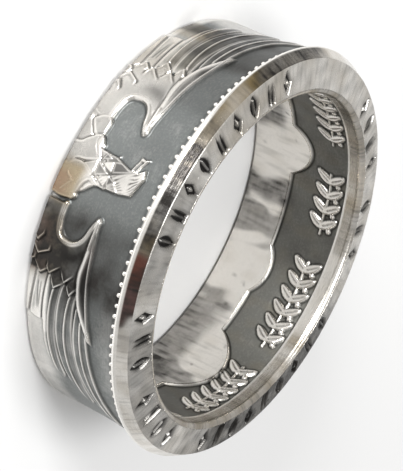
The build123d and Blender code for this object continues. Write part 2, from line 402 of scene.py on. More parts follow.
# Outermost first, so that each tooth lies over the ones before
TEETH = [
    Tooth(Spot(33.4, 0.430), Spot(36.0, 0.480), Spot(33.0, 0.545)),
    Tooth(Spot(32.2, 0.240), Spot(35.8, 0.302), Spot(32.6, 0.425)),
    Tooth(Spot(29.8, 0.060), Spot(33.0, 0.142), Spot(30.9, 0.220)),
    Tooth(Spot(28.6, -0.100), Spot(31.4, -0.030), Spot(29.4, 0.070)),
    Tooth(Spot(29.2, 0.342), Spot(33.1, 0.404), Spot(29.8, 0.495)),
    Tooth(Spot(30.2, 0.196), Spot(32.2, 0.236), Spot(29.0, 0.345)),
    Tooth(Spot(25.4, 0.020), Spot(28.0, 0.085), Spot(26.0, 0.198)),
    Tooth(Spot(22.6, -0.010), Spot(24.6, 0.055), Spot(22.3, 0.104)),
    Tooth(Spot(21.0, -0.110), Spot(23.0, -0.055), Spot(21.2, 0.015)),
]

# Outlines and lines of the eagle, each a row of spots
HOLLOW = [
    (13.0, 0.578), (15.6, 0.537), (18.8, 0.500), (20.9, 0.445), (21.9, 0.370), (21.5, 0.280), (19.8, 0.228),
    (17.2, 0.207), (14.8, 0.203), (12.4, 0.204),
]
SHOULDER = [
    (12.2, -0.14), (28.4, -0.14), (29.6, -0.03), (31.0, 0.142), (31.2, 0.240), (33.6, 0.302), (31.2, 0.400),
    (33.4, 0.480), (31.0, 0.540), (20.0, 0.570),
]
KNOB = [(13.4, 0.586), (17.0, 0.578), (21.0, 0.570)]
ARM_TOP = [(12.6, 0.604), (16.0, 0.608), (21.0, 0.625), (30.0, 0.650), (39.0, 0.696), (47.6, 0.752)]
ARM_FOOT = [
    (47.2, 0.742), (43.0, 0.652), (37.0, 0.562), (30.0, 0.525), (24.0, 0.540), (17.5, 0.556), (12.6, 0.566),
]
CHEST = [
    (-14.4, -0.14), (-14.3, 0.022), (-13.4, 0.095), (-13.5, 0.203), (-12.3, 0.247), (-9.8, 0.250),
    (-8.0, 0.250), (-6.0, 0.306), (-4.7, 0.310), (-4.5, 0.370), (-4.2, 0.475), (-4.2, 0.500), (4.6, 0.500),
    (4.9, 0.443), (5.4, 0.380), (7.2, 0.320), (8.6, 0.266), (10.5, 0.253), (11.2, 0.118), (10.9, 0.025),
    (11.2, -0.140),
]
BREAST_PLATES = [
    [
        (-13.5, 0.203), (-12.3, 0.247), (-9.8, 0.250), (-8.0, 0.250), (-7.2, 0.200), (-7.5, 0.155),
        (-9.0, 0.118), (-10.5, 0.085), (-11.4, 0.080), (-12.3, 0.107), (-13.2, 0.150),
    ],
    [
        (-7.3, 0.177), (-8.0, 0.250), (-5.5, 0.240), (-3.6, 0.278), (-1.8, 0.338), (-0.1, 0.203),
        (0.4, 0.125), (2.3, 0.065), (2.6, -0.140), (-3.2, -0.140), (-4.2, 0.060), (-5.6, 0.118),
    ],
    [
        (2.3, 0.065), (0.7, 0.125), (0.6, 0.203), (1.5, 0.262), (3.1, 0.345), (4.1, 0.302), (5.2, 0.275),
        (7.6, 0.257), (10.5, 0.253), (11.2, 0.118), (10.9, 0.025), (11.2, -0.140), (2.6, -0.140),
    ],
]
BREAST_LINES = [
    [(4.6, 0.105), (5.3, 0.125), (5.6, 0.152), (6.1, 0.160)],
    [(9.4, 0.102), (7.8, 0.138), (6.3, 0.176)],
    [(-12.6, 0.030), (-11.4, 0.045), (-10.4, 0.020)],
]
HEAD = [
    (-4.2, 0.430), (-4.0, 0.490), (-3.3, 0.560), (-2.4, 0.650), (-2.6, 0.752), (-3.9, 0.800), (-1.6, 0.826),
    (3.9, 0.770), (4.8, 0.630), (4.9, 0.512), (5.1, 0.443), (4.0, 0.400), (-3.6, 0.400),
]
BEAK_UPPER = [(-2.6, 0.706), (-4.2, 0.724), (-6.2, 0.758)]
BEAK_LOWER = [(-2.2, 0.662), (-4.0, 0.682), (-6.0, 0.708)]
BEAK_TIP = [(-5.8, 0.690), (-6.9, 0.694), (-6.4, 0.735), (-6.8, 0.785), (-5.8, 0.760)]


class Facet(NamedTuple):
    """A flat-cut facet of the neck or head: its outline, how brightly it is painted as lit, and how dark it
    is painted as shaded.
    """

    outline: Line
    gleam: float
    shade: float


FACETS = [
    Facet(
        [
            (-2.5, 0.740), (-3.8, 0.802), (-1.6, 0.822), (3.9, 0.764), (4.6, 0.640), (2.4, 0.560),
            (0.9, 0.506),
        ],
        0.9,
        0.0,
    ),
    Facet([(2.4, 0.560), (4.6, 0.640), (4.8, 0.515), (4.4, 0.505)], 0.4, 0.35),
    Facet([(-2.8, 0.486), (-3.2, 0.557), (-2.1, 0.650), (-2.3, 0.735), (0.3, 0.505)], 0.0, 0.85),
    Facet([(1.1, 0.485), (2.4, 0.585), (4.3, 0.502)], 0.0, 0.8),
    Facet([(2.8, 0.378), (0.9, 0.500), (4.5, 0.486)], 1.0, 0.0),
    Facet([(-1.3, 0.367), (-2.7, 0.480), (0.3, 0.492)], 1.0, 0.0),
    Facet([(-1.5, 0.337), (1.0, 0.470), (2.7, 0.348)], 0.0, 0.7),
    Facet([(0.6, 0.206), (-1.5, 0.330), (2.8, 0.338)], 0.15, 0.2),
    Facet([(3.2, 0.352), (4.9, 0.440), (5.1, 0.395), (4.2, 0.318)], 0.2, 0.2),
    Facet([(-4.3, 0.380), (-1.9, 0.352), (-3.1, 0.450)], 0.0, 0.8),
]
CURLS = [
    [
        (-8.0, 0.252), (-6.6, 0.236), (-5.3, 0.242), (-3.6, 0.280), (-2.4, 0.322), (-4.0, 0.300),
        (-5.3, 0.284), (-6.8, 0.288),
    ],
    [
        (3.4, 0.350), (4.1, 0.304), (5.4, 0.270), (7.2, 0.254), (8.8, 0.260), (7.2, 0.276), (5.6, 0.294),
        (4.6, 0.322),
    ],
]


@dataclass
class Eagle:
    """The heraldic eagle on the outer field, over degrees from its centre line and heights in millimetres.

    Its wings mirror each other. The heights of its parts are above the field.
    """

    degrees: Array
    z: Array
    blunt_below: float = 50.0
    feather_height: float = 0.115
    tooth_height: float = 0.195
    shoulder_height: float = 0.19
    arm_height: float = 0.12
    collar_height: float = 0.27
    knob_height: float = 0.29
    chest_height: float = 0.18
    plate_height: float = 0.20
    head_height: float = 0.19
    beak_height: float = 0.15
    curl_height: float = 0.24
    facet_height: float = 0.215

    def __post_init__(self) -> None:
        """Starts a flat relief for the body, and one that both wings share."""
        x = FIELD_RADIUS * np.radians(self.degrees)
        self.body = Relief(x, self.z)
        self.wing = Relief(np.abs(x), self.z)

    def long_feather(self, upper: Feather, lower: Feather, roots: Place) -> None:
        """Lays a long wing feather, with a raised quill and a cut line along its edges.

        Args:
            upper: The half above the quill.
            lower: The half below it.
            roots: Degrees at which its low and its high edge start.
        """
        wing = self.wing
        blunt = upper.tip < self.blunt_below
        top_line = self.edge(wing.x, upper, high=True)
        low_line = self.edge(wing.x, lower, high=False)
        quill = (self.edge(wing.x, upper, high=False) + self.edge(wing.x, lower, high=True)) / 2
        half = np.maximum((top_line - low_line) / 2, 0.02)
        t = (wing.y - (top_line + low_line) / 2) / half
        low_root, high_root = (across(degrees) for degrees in roots)
        root = (low_root + high_root) / 2 + np.clip(t, -1, 1) * (high_root - low_root) / 2
        tip = across((upper.tip + lower.tip) / 2)
        reach, skew = (0.16, 0.06) if blunt else (1.3, 0.55)
        end = tip + skew * np.clip(t, -1, 1) - reach * (1 - np.sqrt(np.clip(1 - t**2, 0, 1)))
        sides = (np.abs(t) - 1) * half - 0.02
        distance = np.maximum(np.maximum(sides, root - wing.x), wing.x - end)
        along = np.clip((wing.x - root) / (tip - root), 0, 1)
        crown = self.feather_height + 0.03 * t + 0.012 * (1 - np.clip(np.abs(t), 0, 1) ** 2)
        wing.lay(distance, crown * (1 - 0.2 * along), edge=0.13, groove=0.05)
        inside = smooth(0.03, -0.05, distance)
        thin = smooth(1.0, 0.85, along) * inside
        if blunt:
            short = thin * smooth(0.38, 0.46, along) * smooth(0.9, 0.7, along)
            for lean in (0.06, -0.34):
                cut = wing.y - quill - lean * half * (1.9 - 1.8 * along)
                wing.trim(BLUNT_CUT, cut, short)
            wing.trim(BLUNT_EDGE, distance, inside)
        else:
            wing.trim(QUILL, wing.y - quill, thin)
            wing.trim(QUILL_SIDES, np.abs(wing.y - quill), thin)
            wing.trim(FEATHER_EDGE, sides, inside)
            wing.trim(FEATHER_BARB, np.abs(np.abs(t) - 0.5) * half, thin)

    @staticmethod
    def edge(x: Array, half: Feather, high: bool) -> Array:
        """A half feather's edge, as a parabola through its three places.

        Args:
            x: Millimetres across.
            half: The half feather.
            high: Its high edge, where otherwise its low one is given.

        Returns:
            The edge's height in millimetres at each x.
        """
        xs = [across(degrees) for degrees in (half.root, half.middle, half.tip)]
        if high:
            ys = [half.root_high, half.middle_high, half.tip_high]
        else:
            ys = [half.root_low, half.middle_low, half.tip_low]
        return np.polyval(np.polyfit(xs, [up(y) for y in ys], 2), x)

    def small_feather(self, tooth: Tooth, layer: int) -> None:
        """Lays one of the overlapping pointed feathers that grow out of the shoulder.

        Args:
            tooth: Its pointed end.
            layer: How many of them are below it.
        """
        wing = self.wing
        low, tip, high = (np.array(place(spot)) for spot in tooth)
        root = np.array([0.7, 0.0])
        outline = [tuple(corner) for corner in (low, tip, high, high - root, low - root)]
        distance = outline_distance(wing.x, wing.y, outline)
        near = smooth(0.85, 0.30, tip[0] - wing.x)
        top = wing.height * (1 - near) + (self.tooth_height + 0.004 * layer + 0.04 * near) * near
        shade = wing.shade
        wing.lay(distance, top, edge=0.12, groove=0.07 * near)
        wing.darken(shade * (1 - near))
        lines = near * smooth(0.04, -0.04, distance)
        wing.trim(TOOTH_EDGE, distance, lines)
        wing.trim(TOOTH_CUT, distance, lines)
        # A small painted highlight at each tooth's tip
        point = np.hypot(wing.x - tip[0] + 0.09, wing.y - tip[1])
        wing.brighten(bump_at(point, 0.0, 0.10) * lines)

    def shoulder(self) -> None:
        """The smooth shoulder between the round hollow and the small feathers."""
        wing = self.wing
        hollow = bent_line(places(HOLLOW))
        distance = outline_distance(wing.x, wing.y, hollow + places(SHOULDER))
        from_hollow = line_distance(wing.x, wing.y, hollow)
        dip = 0.06 * bump_at(from_hollow, 0.75, 0.4) * smooth(up(0.2), up(0.4), wing.y)
        wing.lay(distance, self.shoulder_height - dip, edge=0.14, groove=0.03)
        # Painted shade in the shallow dip beside the arm
        wing.darken(11 * dip * smooth(0.05, -0.05, distance))

    def arm(self) -> None:
        """The wing's arm: a thin outer line beside a smooth crescent, and the round knob at its root."""
        wing = self.wing
        top, foot = bent_line(places(ARM_TOP)), bent_line(places(ARM_FOOT))
        distance = outline_distance(wing.x, wing.y, top + foot)
        from_top = line_distance(wing.x, wing.y, top)
        from_foot = line_distance(wing.x, wing.y, foot)
        root = smooth(across(23.0), across(15.5), wing.x)
        tip = smooth(across(41.0), across(47.0), wing.x)
        wing.lay(distance, self.arm_height + 0.09 * root + 0.05 * tip, edge=0.15, groove=0.05)
        open_part = smooth(0.05, -0.05, distance) * (1 - root)
        # Painted shade over the crescent's open inside
        wing.darken(0.9 * open_part * (1 - tip) * smooth(0.1, 0.3, from_foot))
        wing.trim(ARM_OUTER, -from_top, open_part)
        wing.trim(ARM_CRESCENT, -from_foot, open_part)
        collar = line_distance(wing.x, wing.y, bent_line(places(HOLLOW)))
        fade = smooth(up(0.10), up(0.26), wing.y)
        wing.height = np.maximum(wing.height, self.collar_height * smooth(0.26, 0.02, collar) * fade)
        wing.brighten(0.95 * bump_at(collar, 0.07, 0.075) * fade * smooth(0.06, 0.12, wing.height))
        wing.ridge(places(KNOB), 0.50, self.knob_height, gleam=0.7)

    def chest(self) -> None:
        """The chest and neck with their pointed lines."""
        body = self.body
        distance = outline_distance(body.x, body.y, bent_line(places(CHEST), 6))
        body.lay(distance, self.chest_height, edge=0.13, groove=0.05)
        body.trim(CHEST_EDGE, distance)
        for k, spots in enumerate(BREAST_PLATES):
            plate = outline_distance(body.x, body.y, ring_of(spots))
            body.lay(np.maximum(plate, distance), self.plate_height + 0.015 * k, edge=0.12, groove=0.04)
            inside = smooth(0.04, -0.04, distance) * smooth(0.04, -0.04, plate)
            body.trim(PLATE_EDGE, plate, inside)
        for spots in BREAST_LINES:
            body.ridge(bent_line(places(spots)), 0.15, 0.03, over=True, gleam=0.8)

    def head(self) -> None:
        """The head, its beak and the curled neck feathers."""
        body = self.body
        distance = outline_distance(body.x, body.y, places(HEAD))
        body.lay(distance, self.head_height, edge=0.15, groove=0.06)
        # Painted shade greys the head between its lit facets
        body.darken(0.62 * smooth(0.0, -0.1, distance))
        body.trim(HEAD_EDGE, distance)
        # Painted highlights along the beak's ridges and over its tip
        for line in (BEAK_UPPER, BEAK_LOWER):
            body.ridge(places(line), 0.27, self.beak_height, gleam=1.0)
        tip = outline_distance(body.x, body.y, places(BEAK_TIP))
        body.lay(tip, self.beak_height + 0.01, edge=0.13)
        body.brighten(smooth(0.02, -0.04, tip))
        for spots in CURLS:
            curl = outline_distance(body.x, body.y, ring_of(spots))
            body.lay(curl, self.curl_height, edge=0.12, groove=0.04)
            body.brighten(0.9 * smooth(0.03, -0.05, curl))

    def facets(self) -> None:
        """The pointed feathers of the head and neck, flat-cut like small facets that lean different ways,
        each painted lit or shaded.
        """
        body = self.body
        around = body.x / 11.4
        stroke = np.sin((body.x * 0.80 + body.y * 0.60) * 37 + 2.2 * mottle(around, body.y, 0.9, 61))
        stroke = np.clip(stroke + 0.1, 0, 1) * np.clip(0.7 + mottle(around, body.y, 0.8, 62), 0, 1)
        for i, facet in enumerate(FACETS):
            corners = places(facet.outline)
            distance = outline_distance(body.x, body.y, corners)
            lean = 0.05 * math.sin(i * 2.1) * (body.x - corners[0][0])
            lean += 0.04 * math.cos(i * 1.7) * (body.y - corners[0][1])
            body.lay(distance, self.facet_height + lean, edge=0.08, groove=0.02)
            inside = smooth(0.02, -0.04, distance)
            # Painted highlight or painted shade for each facet, crossed by fine dark strokes
            body.brighten(facet.gleam * inside * (1 - stroke))
            body.darken((facet.shade + 0.85 * facet.gleam * stroke) * inside)
            body.trim(FACET_EDGE, distance, inside)

    def relief(self) -> tuple[Array, Array, Array]:
        """Builds the whole eagle, each part over the ones before.

        Returns:
            Heights above the field in millimetres, where it gleams or has painted highlights, and where dirt
            fills its lines or shade is painted.
        """
        for (upper, lower), roots in reversed(list(zip(FEATHER_HALVES, FEATHER_ROOTS))):
            self.long_feather(upper, lower, roots)
        self.shoulder()
        for layer, tooth in enumerate(TEETH):
            self.small_feather(tooth, layer)
        self.arm()
        self.chest()
        self.head()
        self.facets()
        body_over = self.body.height > self.wing.height
        height = box_blur(np.maximum(self.wing.height, self.body.height), 1, 1)
        gleam = np.where(body_over, self.body.gleam, self.wing.gleam)
        return height, gleam, np.where(body_over, self.body.shade, self.wing.shade)


def box_blur(grid: Array, rows: int, columns: int) -> Array:
    """Averages a grid over a window that closes round the ring.

    Args:
        grid: Rows along the section and columns round the ring.
        rows: Rows on each side of the middle one.
        columns: Columns on each side of the middle one.

    Returns:
        The softened grid.
    """
    total = sum(np.roll(grid, shift, axis=1) for shift in range(-columns, columns + 1)) / (2 * columns + 1)
    padded = np.pad(total, ((rows, rows), (0, 0)), mode="edge")
    return sum(padded[i : i + grid.shape[0]] for i in range(2 * rows + 1)) / (2 * rows + 1)


@dataclass
class RingGrid:
    """A closed skin round the ring's axis: rows along the section and columns round the ring."""

    name: str
    azimuth: Array
    radius: Array
    height: Array
    layers: dict[str, Array]
    sharp_rows: tuple[int, ...] = ()
    whole: bool = True

    def build(self) -> bpy.types.Object:
        """Makes the mesh, with its wear, painted shade and painted highlight layers as attributes and a UV
        map in millimetres.

        Returns:
            The finished object, at the origin.
        """
        rows, columns = self.radius.shape
        x = self.radius * np.cos(self.azimuth)[None, :]
        y = self.radius * np.sin(self.azimuth)[None, :]
        points = np.stack([x, y, self.height], axis=-1).reshape(-1, 3) * MM
        last = columns if self.whole else columns - 1
        i, j = np.meshgrid(np.arange(rows), np.arange(last), indexing="ij")
        below, beside = (i + 1) % rows, (j + 1) % columns
        quads = np.stack(
            [i * columns + j, i * columns + beside, below * columns + beside, below * columns + j], axis=-1
        ).reshape(-1, 4)
        side = np.arange(rows) * columns
        ends = [] if self.whole else [side, (side + columns - 1)[::-1]]
        corners = np.concatenate([quads.ravel(), *ends]).astype(np.int32)
        starts = np.concatenate([np.arange(0, quads.size, 4), quads.size + rows * np.arange(len(ends))])
        mesh = bpy.data.meshes.new(self.name)
        mesh.vertices.add(len(points))
        mesh.vertices.foreach_set("co", points.ravel())
        mesh.loops.add(len(corners))
        mesh.loops.foreach_set("vertex_index", corners)
        mesh.polygons.add(len(starts))
        mesh.polygons.foreach_set("loop_start", starts.astype(np.int32))
        mesh.update(calc_edges=True)
        self.unroll(mesh, i, j, len(corners) - quads.size)
        mesh.polygons.foreach_set("use_smooth", np.ones(len(starts), bool))
        mesh.validate()
        for layer, values in self.layers.items():
            attribute = mesh.attributes.new(layer, "FLOAT", "POINT")
            spread = np.broadcast_to(values, self.radius.shape)
            attribute.data.foreach_set("value", spread.ravel().astype(np.float32))
        self.mark_sharp(mesh, columns)
        made = bpy.data.objects.new(self.name, mesh)
        bpy.context.scene.collection.objects.link(made)
        return made

    def unroll(self, mesh: bpy.types.Mesh, i: Array, j: Array, spare: int) -> None:
        """Writes the UV map: millimetres round the ring and millimetres along the section.

        Args:
            mesh: The mesh.
            i: The row of each face.
            j: The column of each face.
            spare: How many corners the end faces have, which need no map.
        """
        steps = np.hypot(np.diff(self.radius.mean(1)), np.diff(self.height.mean(1)))
        along = np.concatenate([[0], np.cumsum(steps)])
        along = np.append(along, along[-1] + 1.0)
        around = np.append(self.azimuth, self.azimuth[0] + 2 * math.pi) * FIELD_RADIUS
        corners = [(i, j), (i, j + 1), (i + 1, j + 1), (i + 1, j)]
        uv = np.stack([np.stack([around[c], along[r]], axis=-1) for r, c in corners], axis=2)
        layer = mesh.uv_layers.new(name="band")
        layer.data.foreach_set("uv", np.concatenate([uv.ravel(), np.zeros(spare * 2)]).astype(np.float32))

    def mark_sharp(self, mesh: bpy.types.Mesh, columns: int) -> None:
        """Creases the rows where the real surface has an edge, and the ends of an open stretch.

        Args:
            mesh: The mesh.
            columns: How many columns go round.
        """
        pairs = np.zeros(len(mesh.edges) * 2, np.int32)
        mesh.edges.foreach_get("vertices", pairs)
        row = pairs.reshape(-1, 2) // columns
        sharp = (row[:, 0] == row[:, 1]) & np.isin(row[:, 0], self.sharp_rows)
        if not self.whole:
            column = pairs.reshape(-1, 2) % columns
            sharp |= (column[:, 0] == column[:, 1]) & np.isin(column[:, 0], (0, columns - 1))
        mesh.edges.foreach_set("use_edge_sharp", sharp)


def corner_round(centre: Place, radius: float, start: float, end: float, count: int) -> Line:
    """Places along a rounded corner of the section, from one angle to another in degrees."""
    angles = np.radians(np.linspace(start, end, count))
    return [(centre[0] + radius * math.cos(a), centre[1] + radius * math.sin(a)) for a in angles]


def level_rows(section: Line, columns: int) -> tuple[Array, Array]:
    """Rows that stay the same all round the ring.

    Args:
        section: Places of the section, as radius and height.
        columns: How many columns go round.

    Returns:
        The radius and the height of each grid place.
    """
    radius, height = (np.repeat(np.array(part)[:, None], columns, axis=1) for part in zip(*section))
    return radius, height


def turn_from(degrees: Array, centre: float) -> Array:
    """Degrees from a centre azimuth, from -180 to 180."""
    return (degrees - centre + 180) % 360 - 180


def azimuth_stretch(degrees: Array, low: float, high: float, soft: float) -> Array:
    """A stretch of azimuths with soft ends.

    Args:
        degrees: Azimuths.
        low: Where the stretch starts.
        high: Where it ends.
        soft: Degrees over which it fades outside them.

    Returns:
        1 inside the stretch and 0 away from it.
    """
    turned = (degrees - low) % 360
    span = (high - low) % 360
    gap = np.where(turned <= span, 0, np.minimum(turned - span, 360 - turned))
    return smooth(soft, 0, gap)


class Patch(NamedTuple):
    """A patch of wear, tarnish or painted shade: its azimuths, degrees over which it fades, and its
    strength.

    The last two are the shares of the field's height where it is gone and where it is full. A patch without
    them runs over the whole height.
    """

    low: float
    high: float
    soft: float
    amount: float
    gone: float = -2.0
    full: float = -1.0

    def over(self, degrees: Array, share: Array | float = 0.0) -> Array:
        """How strong the patch is at each place."""
        zone = azimuth_stretch(degrees, self.low, self.high, self.soft)
        return self.amount * zone * smooth(self.gone, self.full, share)


def patched(patches: list[Patch], degrees: Array, share: Array | float = 0.0) -> Array:
    """How strong several patches are together at each place."""
    return sum(patch.over(degrees, share) for patch in patches)


class Stretch(NamedTuple):
    """A stretch of the outer wall: its name, its degrees from the eagle's centre line, and its columns."""

    name: str
    start: float
    end: float
    columns: int


WALL_STRETCHES = (
    Stretch("struck_wall_left", -84.0, -12.5, 446),
    Stretch("struck_wall_middle", -12.5, 12.4, 156),
    Stretch("struck_wall_right", 12.4, 84.0, 447),
    Stretch("struck_wall_back", 84.0, 276.0, 200),
)
# Patches of the wall, in degrees from the eagle's centre line. The raised ones lie on raised work only
WALL_WORN = [
    Patch(-76, -70, 10, 0.9, 0.62, 0.42),
    Patch(-53, -46, 2, 0.6, 0.28, 0.20),
    Patch(36, 60, 5, 0.25, 0.75, 0.95),
]
# Painted dark reflections on the near wing's top, and painted shade over the raised chest, neck and near
# shoulder
WALL_DARK_REFLECTION = [Patch(-70, -61, 4, 0.30, 0.40, 0.52), Patch(-62, -45, 6, 0.58, 0.27, 0.36)]
RAISED_PAINTED_SHADE = [Patch(-13, 0, 4, 0.42), Patch(-36, -17, 4, 0.26), Patch(1, 6, 3, 0.44, 0.40, 0.50)]
WALL_STRAW = [Patch(-58, -51, 3, 0.35, 0.42, 0.30)]
RAISED_STRAW = [
    Patch(3, 11, 4, 0.75, 0.33, 0.20),
    Patch(18, 31, 5, 0.50, 0.50, 0.25),
    Patch(-52, -34, 8, 0.25, 0.70, 0.35),
    Patch(-50, 20, 6, 0.08),
]
RAISED_ROSE = [Patch(6, 10, 3, 0.30, 0.24, 0.08), Patch(19, 31, 3, 0.40, 0.30, 0.10)]
GROOVE_ROSE = Patch(21, 29, 3, 0.5, 0.50, 0.56)


@dataclass
class StruckWall:
    """The outside of the ring: the cut edge's corner, the dark field with the eagle, and the rim's step.

    It is one stretch of the wall. A few spare columns at each end let neighbours agree where they meet, and
    they are cut off in the finished skin.
    """

    stretch: Stretch
    sizes: BandSizes = SIZES
    spare: int = 8
    field_rows: int = 170
    corner_rows: int = 7
    under_radius: float = 10.4
    back_radius: float = 10.6

    def __post_init__(self) -> None:
        """Works out its columns, in degrees from the eagle's centre line."""
        step = (self.stretch.end - self.stretch.start) / (self.stretch.columns - 1)
        self.degrees = self.stretch.start + step * np.arange(-self.spare, self.stretch.columns + self.spare)

    def rim_step(self) -> Line:
        """The rounded step from the field up to the rim's crest.

        Returns:
            Its places, as radius and height.
        """
        s = self.sizes
        return [
            (s.shoulder_radius + 0.012, s.rim_foot + 0.006),
            (s.shoulder_radius + 0.10, s.rim_foot + 0.055),
            (s.rim_radius - 0.10, s.rim_land_foot - 0.045),
            (s.rim_radius - 0.02, s.rim_land_foot - 0.005),
            (s.rim_radius, s.rim_land_foot + 0.03),
            (s.rim_radius, s.rim_top - 0.035),
            (s.rim_radius - 0.008, s.rim_top),
        ]

    def build(self) -> bpy.types.Object:
        """Builds the stretch as a closed skin.

        Returns:
            The stretch.
        """
        s = self.sizes
        columns = len(self.degrees)
        centre = (s.cut_edge_radius - s.cut_edge_round, s.cut_edge_round)
        corner = corner_round(centre, s.cut_edge_round, -72, 0, self.corner_rows)
        upper_z = np.linspace(s.cut_edge_round, s.rim_foot - 0.02, self.field_rows)[1:]
        field_z = np.concatenate([[p[1] for p in corner], upper_z])
        round_in = np.concatenate([[s.cut_edge_radius - p[0] for p in corner], 0 * upper_z])
        degrees, z = np.meshgrid(turn_from(self.degrees, 0), field_z)
        around = np.radians(degrees)
        painted = Eagle(degrees, z).relief()
        wobble = 0.006 * mottle(around, z, 2.4, 11) + 0.002 * mottle(around, z, 0.8, 12)
        fade = smooth(-0.05, 0.2, z) * smooth(s.rim_foot, s.rim_foot - 0.25, z)
        surface = s.field_arc(z) - round_in[:, None] + (painted[0] + wobble) * fade
        low = level_rows([(self.under_radius, 0.0), (centre[0], 0.0)], columns)
        step = level_rows(self.rim_step(), columns)
        behind = [(self.back_radius + 0.1, 6.28), (self.back_radius, 5.9), (self.back_radius, 0.3)]
        parts = low, (surface, z), step, level_rows(behind, columns)
        radius, height = (np.vstack(rows) for rows in zip(*parts))
        field = slice(len(low[0]), len(low[0]) + len(field_z))
        kept = slice(self.spare, -self.spare)
        layers = self.wear_and_shade(painted, degrees, z, radius.shape, field)
        layers = {name: values[:, kept] for name, values in layers.items()}
        azimuth = np.radians(self.degrees + EAGLE_AZIMUTH)[kept]
        crease = (0, field.stop + len(step[0]) - 1)
        grid = (azimuth, radius[:, kept], height[:, kept])
        return RingGrid(self.stretch.name, *grid, layers, crease, whole=False).build()

    def wear_and_shade(
        self, painted: tuple[Array, ...], degrees: Array, z: Array, shape: tuple[int, ...], field: slice
    ) -> dict[str, Array]:
        """Where the silver is rubbed bright, dark in the cavities or tarnished, and where shade, dark
        reflections and highlights are painted.

        Args:
            painted: The eagle's heights, where it gleams or has painted highlights, and where dirt fills its
                lines or shade is painted.
            degrees: The field's places round the ring, from the eagle's centre line.
            z: The field's heights in millimetres.
            shape: The whole skin's rows and columns.
            field: The rows that are the field.

        Returns:
            The wear, painted shade and painted highlight layers by name.
        """
        relief, gleam, shade = painted
        around = np.radians(degrees)
        share = z / self.sizes.rim_foot
        proud = relief - box_blur(relief, 4, 4)
        patches = mottle(around, z, 1.6, 21)
        raised = smooth(0.05, 0.13, relief)
        shaded_wing = azimuth_stretch(degrees, 13, 84, 3)
        near_wing = azimuth_stretch(degrees, -84, -38, 5) * smooth(0.24, 0.34, share)
        blunt = azimuth_stretch(degrees, 33, 50, 2) * smooth(0.27, 0.23, share)
        shaded_feathers = np.maximum(near_wing, shaded_wing) * (1 - blunt)

        # Painted dark reflections dim the long feathers' plates, the far wing's most
        plate = 0.80 + 0.08 * patches - 0.66 * shaded_feathers + 0.40 * blunt
        plate += 0.24 * azimuth_stretch(degrees, -50, -33, 4) * smooth(0.3, 0.2, share)
        tips = azimuth_stretch(degrees, 66, 70, 45) * 0.9 * (degrees > 66)
        worn = np.minimum(azimuth_stretch(degrees, 48, 66, 5) * 1.1 + tips, 1.3) * smooth(0.34, 0.16, share)
        worn += patched(WALL_WORN, degrees, share)
        # Rubbed high points, together with the painted highlights carried by gleam
        rubbed_and_highlit = raised * plate + gleam + 5 * np.clip(proud, 0, 0.05) + 0.62 * worn * (1 - shade)
        ends = np.maximum(smooth(0.75, 0.3, z), smooth(5.96, 6.03, z))

        # Oxide round the relief's foot and below the rim, which also stands as painted shade there
        foot = np.clip(-proud / 0.05, 0, 1) * 0.5 + bump_at(z, self.sizes.rim_foot - 0.16, 0.10) * 0.35
        # Dirt and painted shade in the relief's lines, painted darker on the far wing
        lines = shade * (0.72 + 0.2 * shaded_wing)

        # Painted dark reflections on the far wing and the near wing's top, and painted shade over the chest
        # and shoulder
        dark = azimuth_stretch(degrees, 17, 30, 9) * (0.62 + 0.1 * patches)
        dark += azimuth_stretch(degrees, -58.5, -54, 3) * (0.64 + 0.1 * patches) * smooth(0.5, 0.36, share)
        dark += azimuth_stretch(degrees, 30, 40, 8) * 0.35 * (1 - blunt) + 0.30 * shaded_feathers * raised
        dark += azimuth_stretch(degrees, -44, -27, 6) * 0.24 * smooth(0.5, 0.62, share) * (1 - 0.6 * raised)
        dark += patched(WALL_DARK_REFLECTION, degrees, share) + patched(RAISED_PAINTED_SHADE, degrees, share) * raised

        rose = patched(RAISED_ROSE, degrees, share) + GROOVE_ROSE.over(degrees, share) * shade
        layers = {
            "polish_and_highlight": np.maximum(rubbed_and_highlit, ends * 0.8),
            "cavity_and_shade": np.maximum(foot, lines) * (1 - 0.9 * gleam),
            "stain_and_shade": dark * (1 - 0.85 * gleam) + 0.07 * mottle(around, z, 3.0, 22),
            "warm": patched(WALL_STRAW, degrees, share) + raised * patched(RAISED_STRAW, degrees, share),
            "rose": raised * rose * (1 - gleam),
        }
        whole = {name: np.full(shape, 1.0 if name == "polish_and_highlight" else 0.0) for name in layers}
        for name, values in layers.items():
            whole[name][field] = np.clip(values, 0, 1)
        return whole


class MarkKind(Enum):
    """The kinds of sunk mark on the edge face."""

    LOZENGE = 0
    DARTS = 1
    LEAF = 2


class MarkGroup(NamedTuple):
    """A run of sunk marks: first azimuth, pitch and how many."""

    first_degrees: float
    pitch_degrees: float
    count: int


EDGE_MARKS = [
    MarkGroup(-143.0, 8.0, 9),
    MarkGroup(-56.0, 7.8, 3),
    MarkGroup(-25.0, 8.0, 4),
    MarkGroup(21.0, 8.0, 9),
    MarkGroup(108.0, 7.8, 3),
    MarkGroup(139.0, 8.0, 4),
]


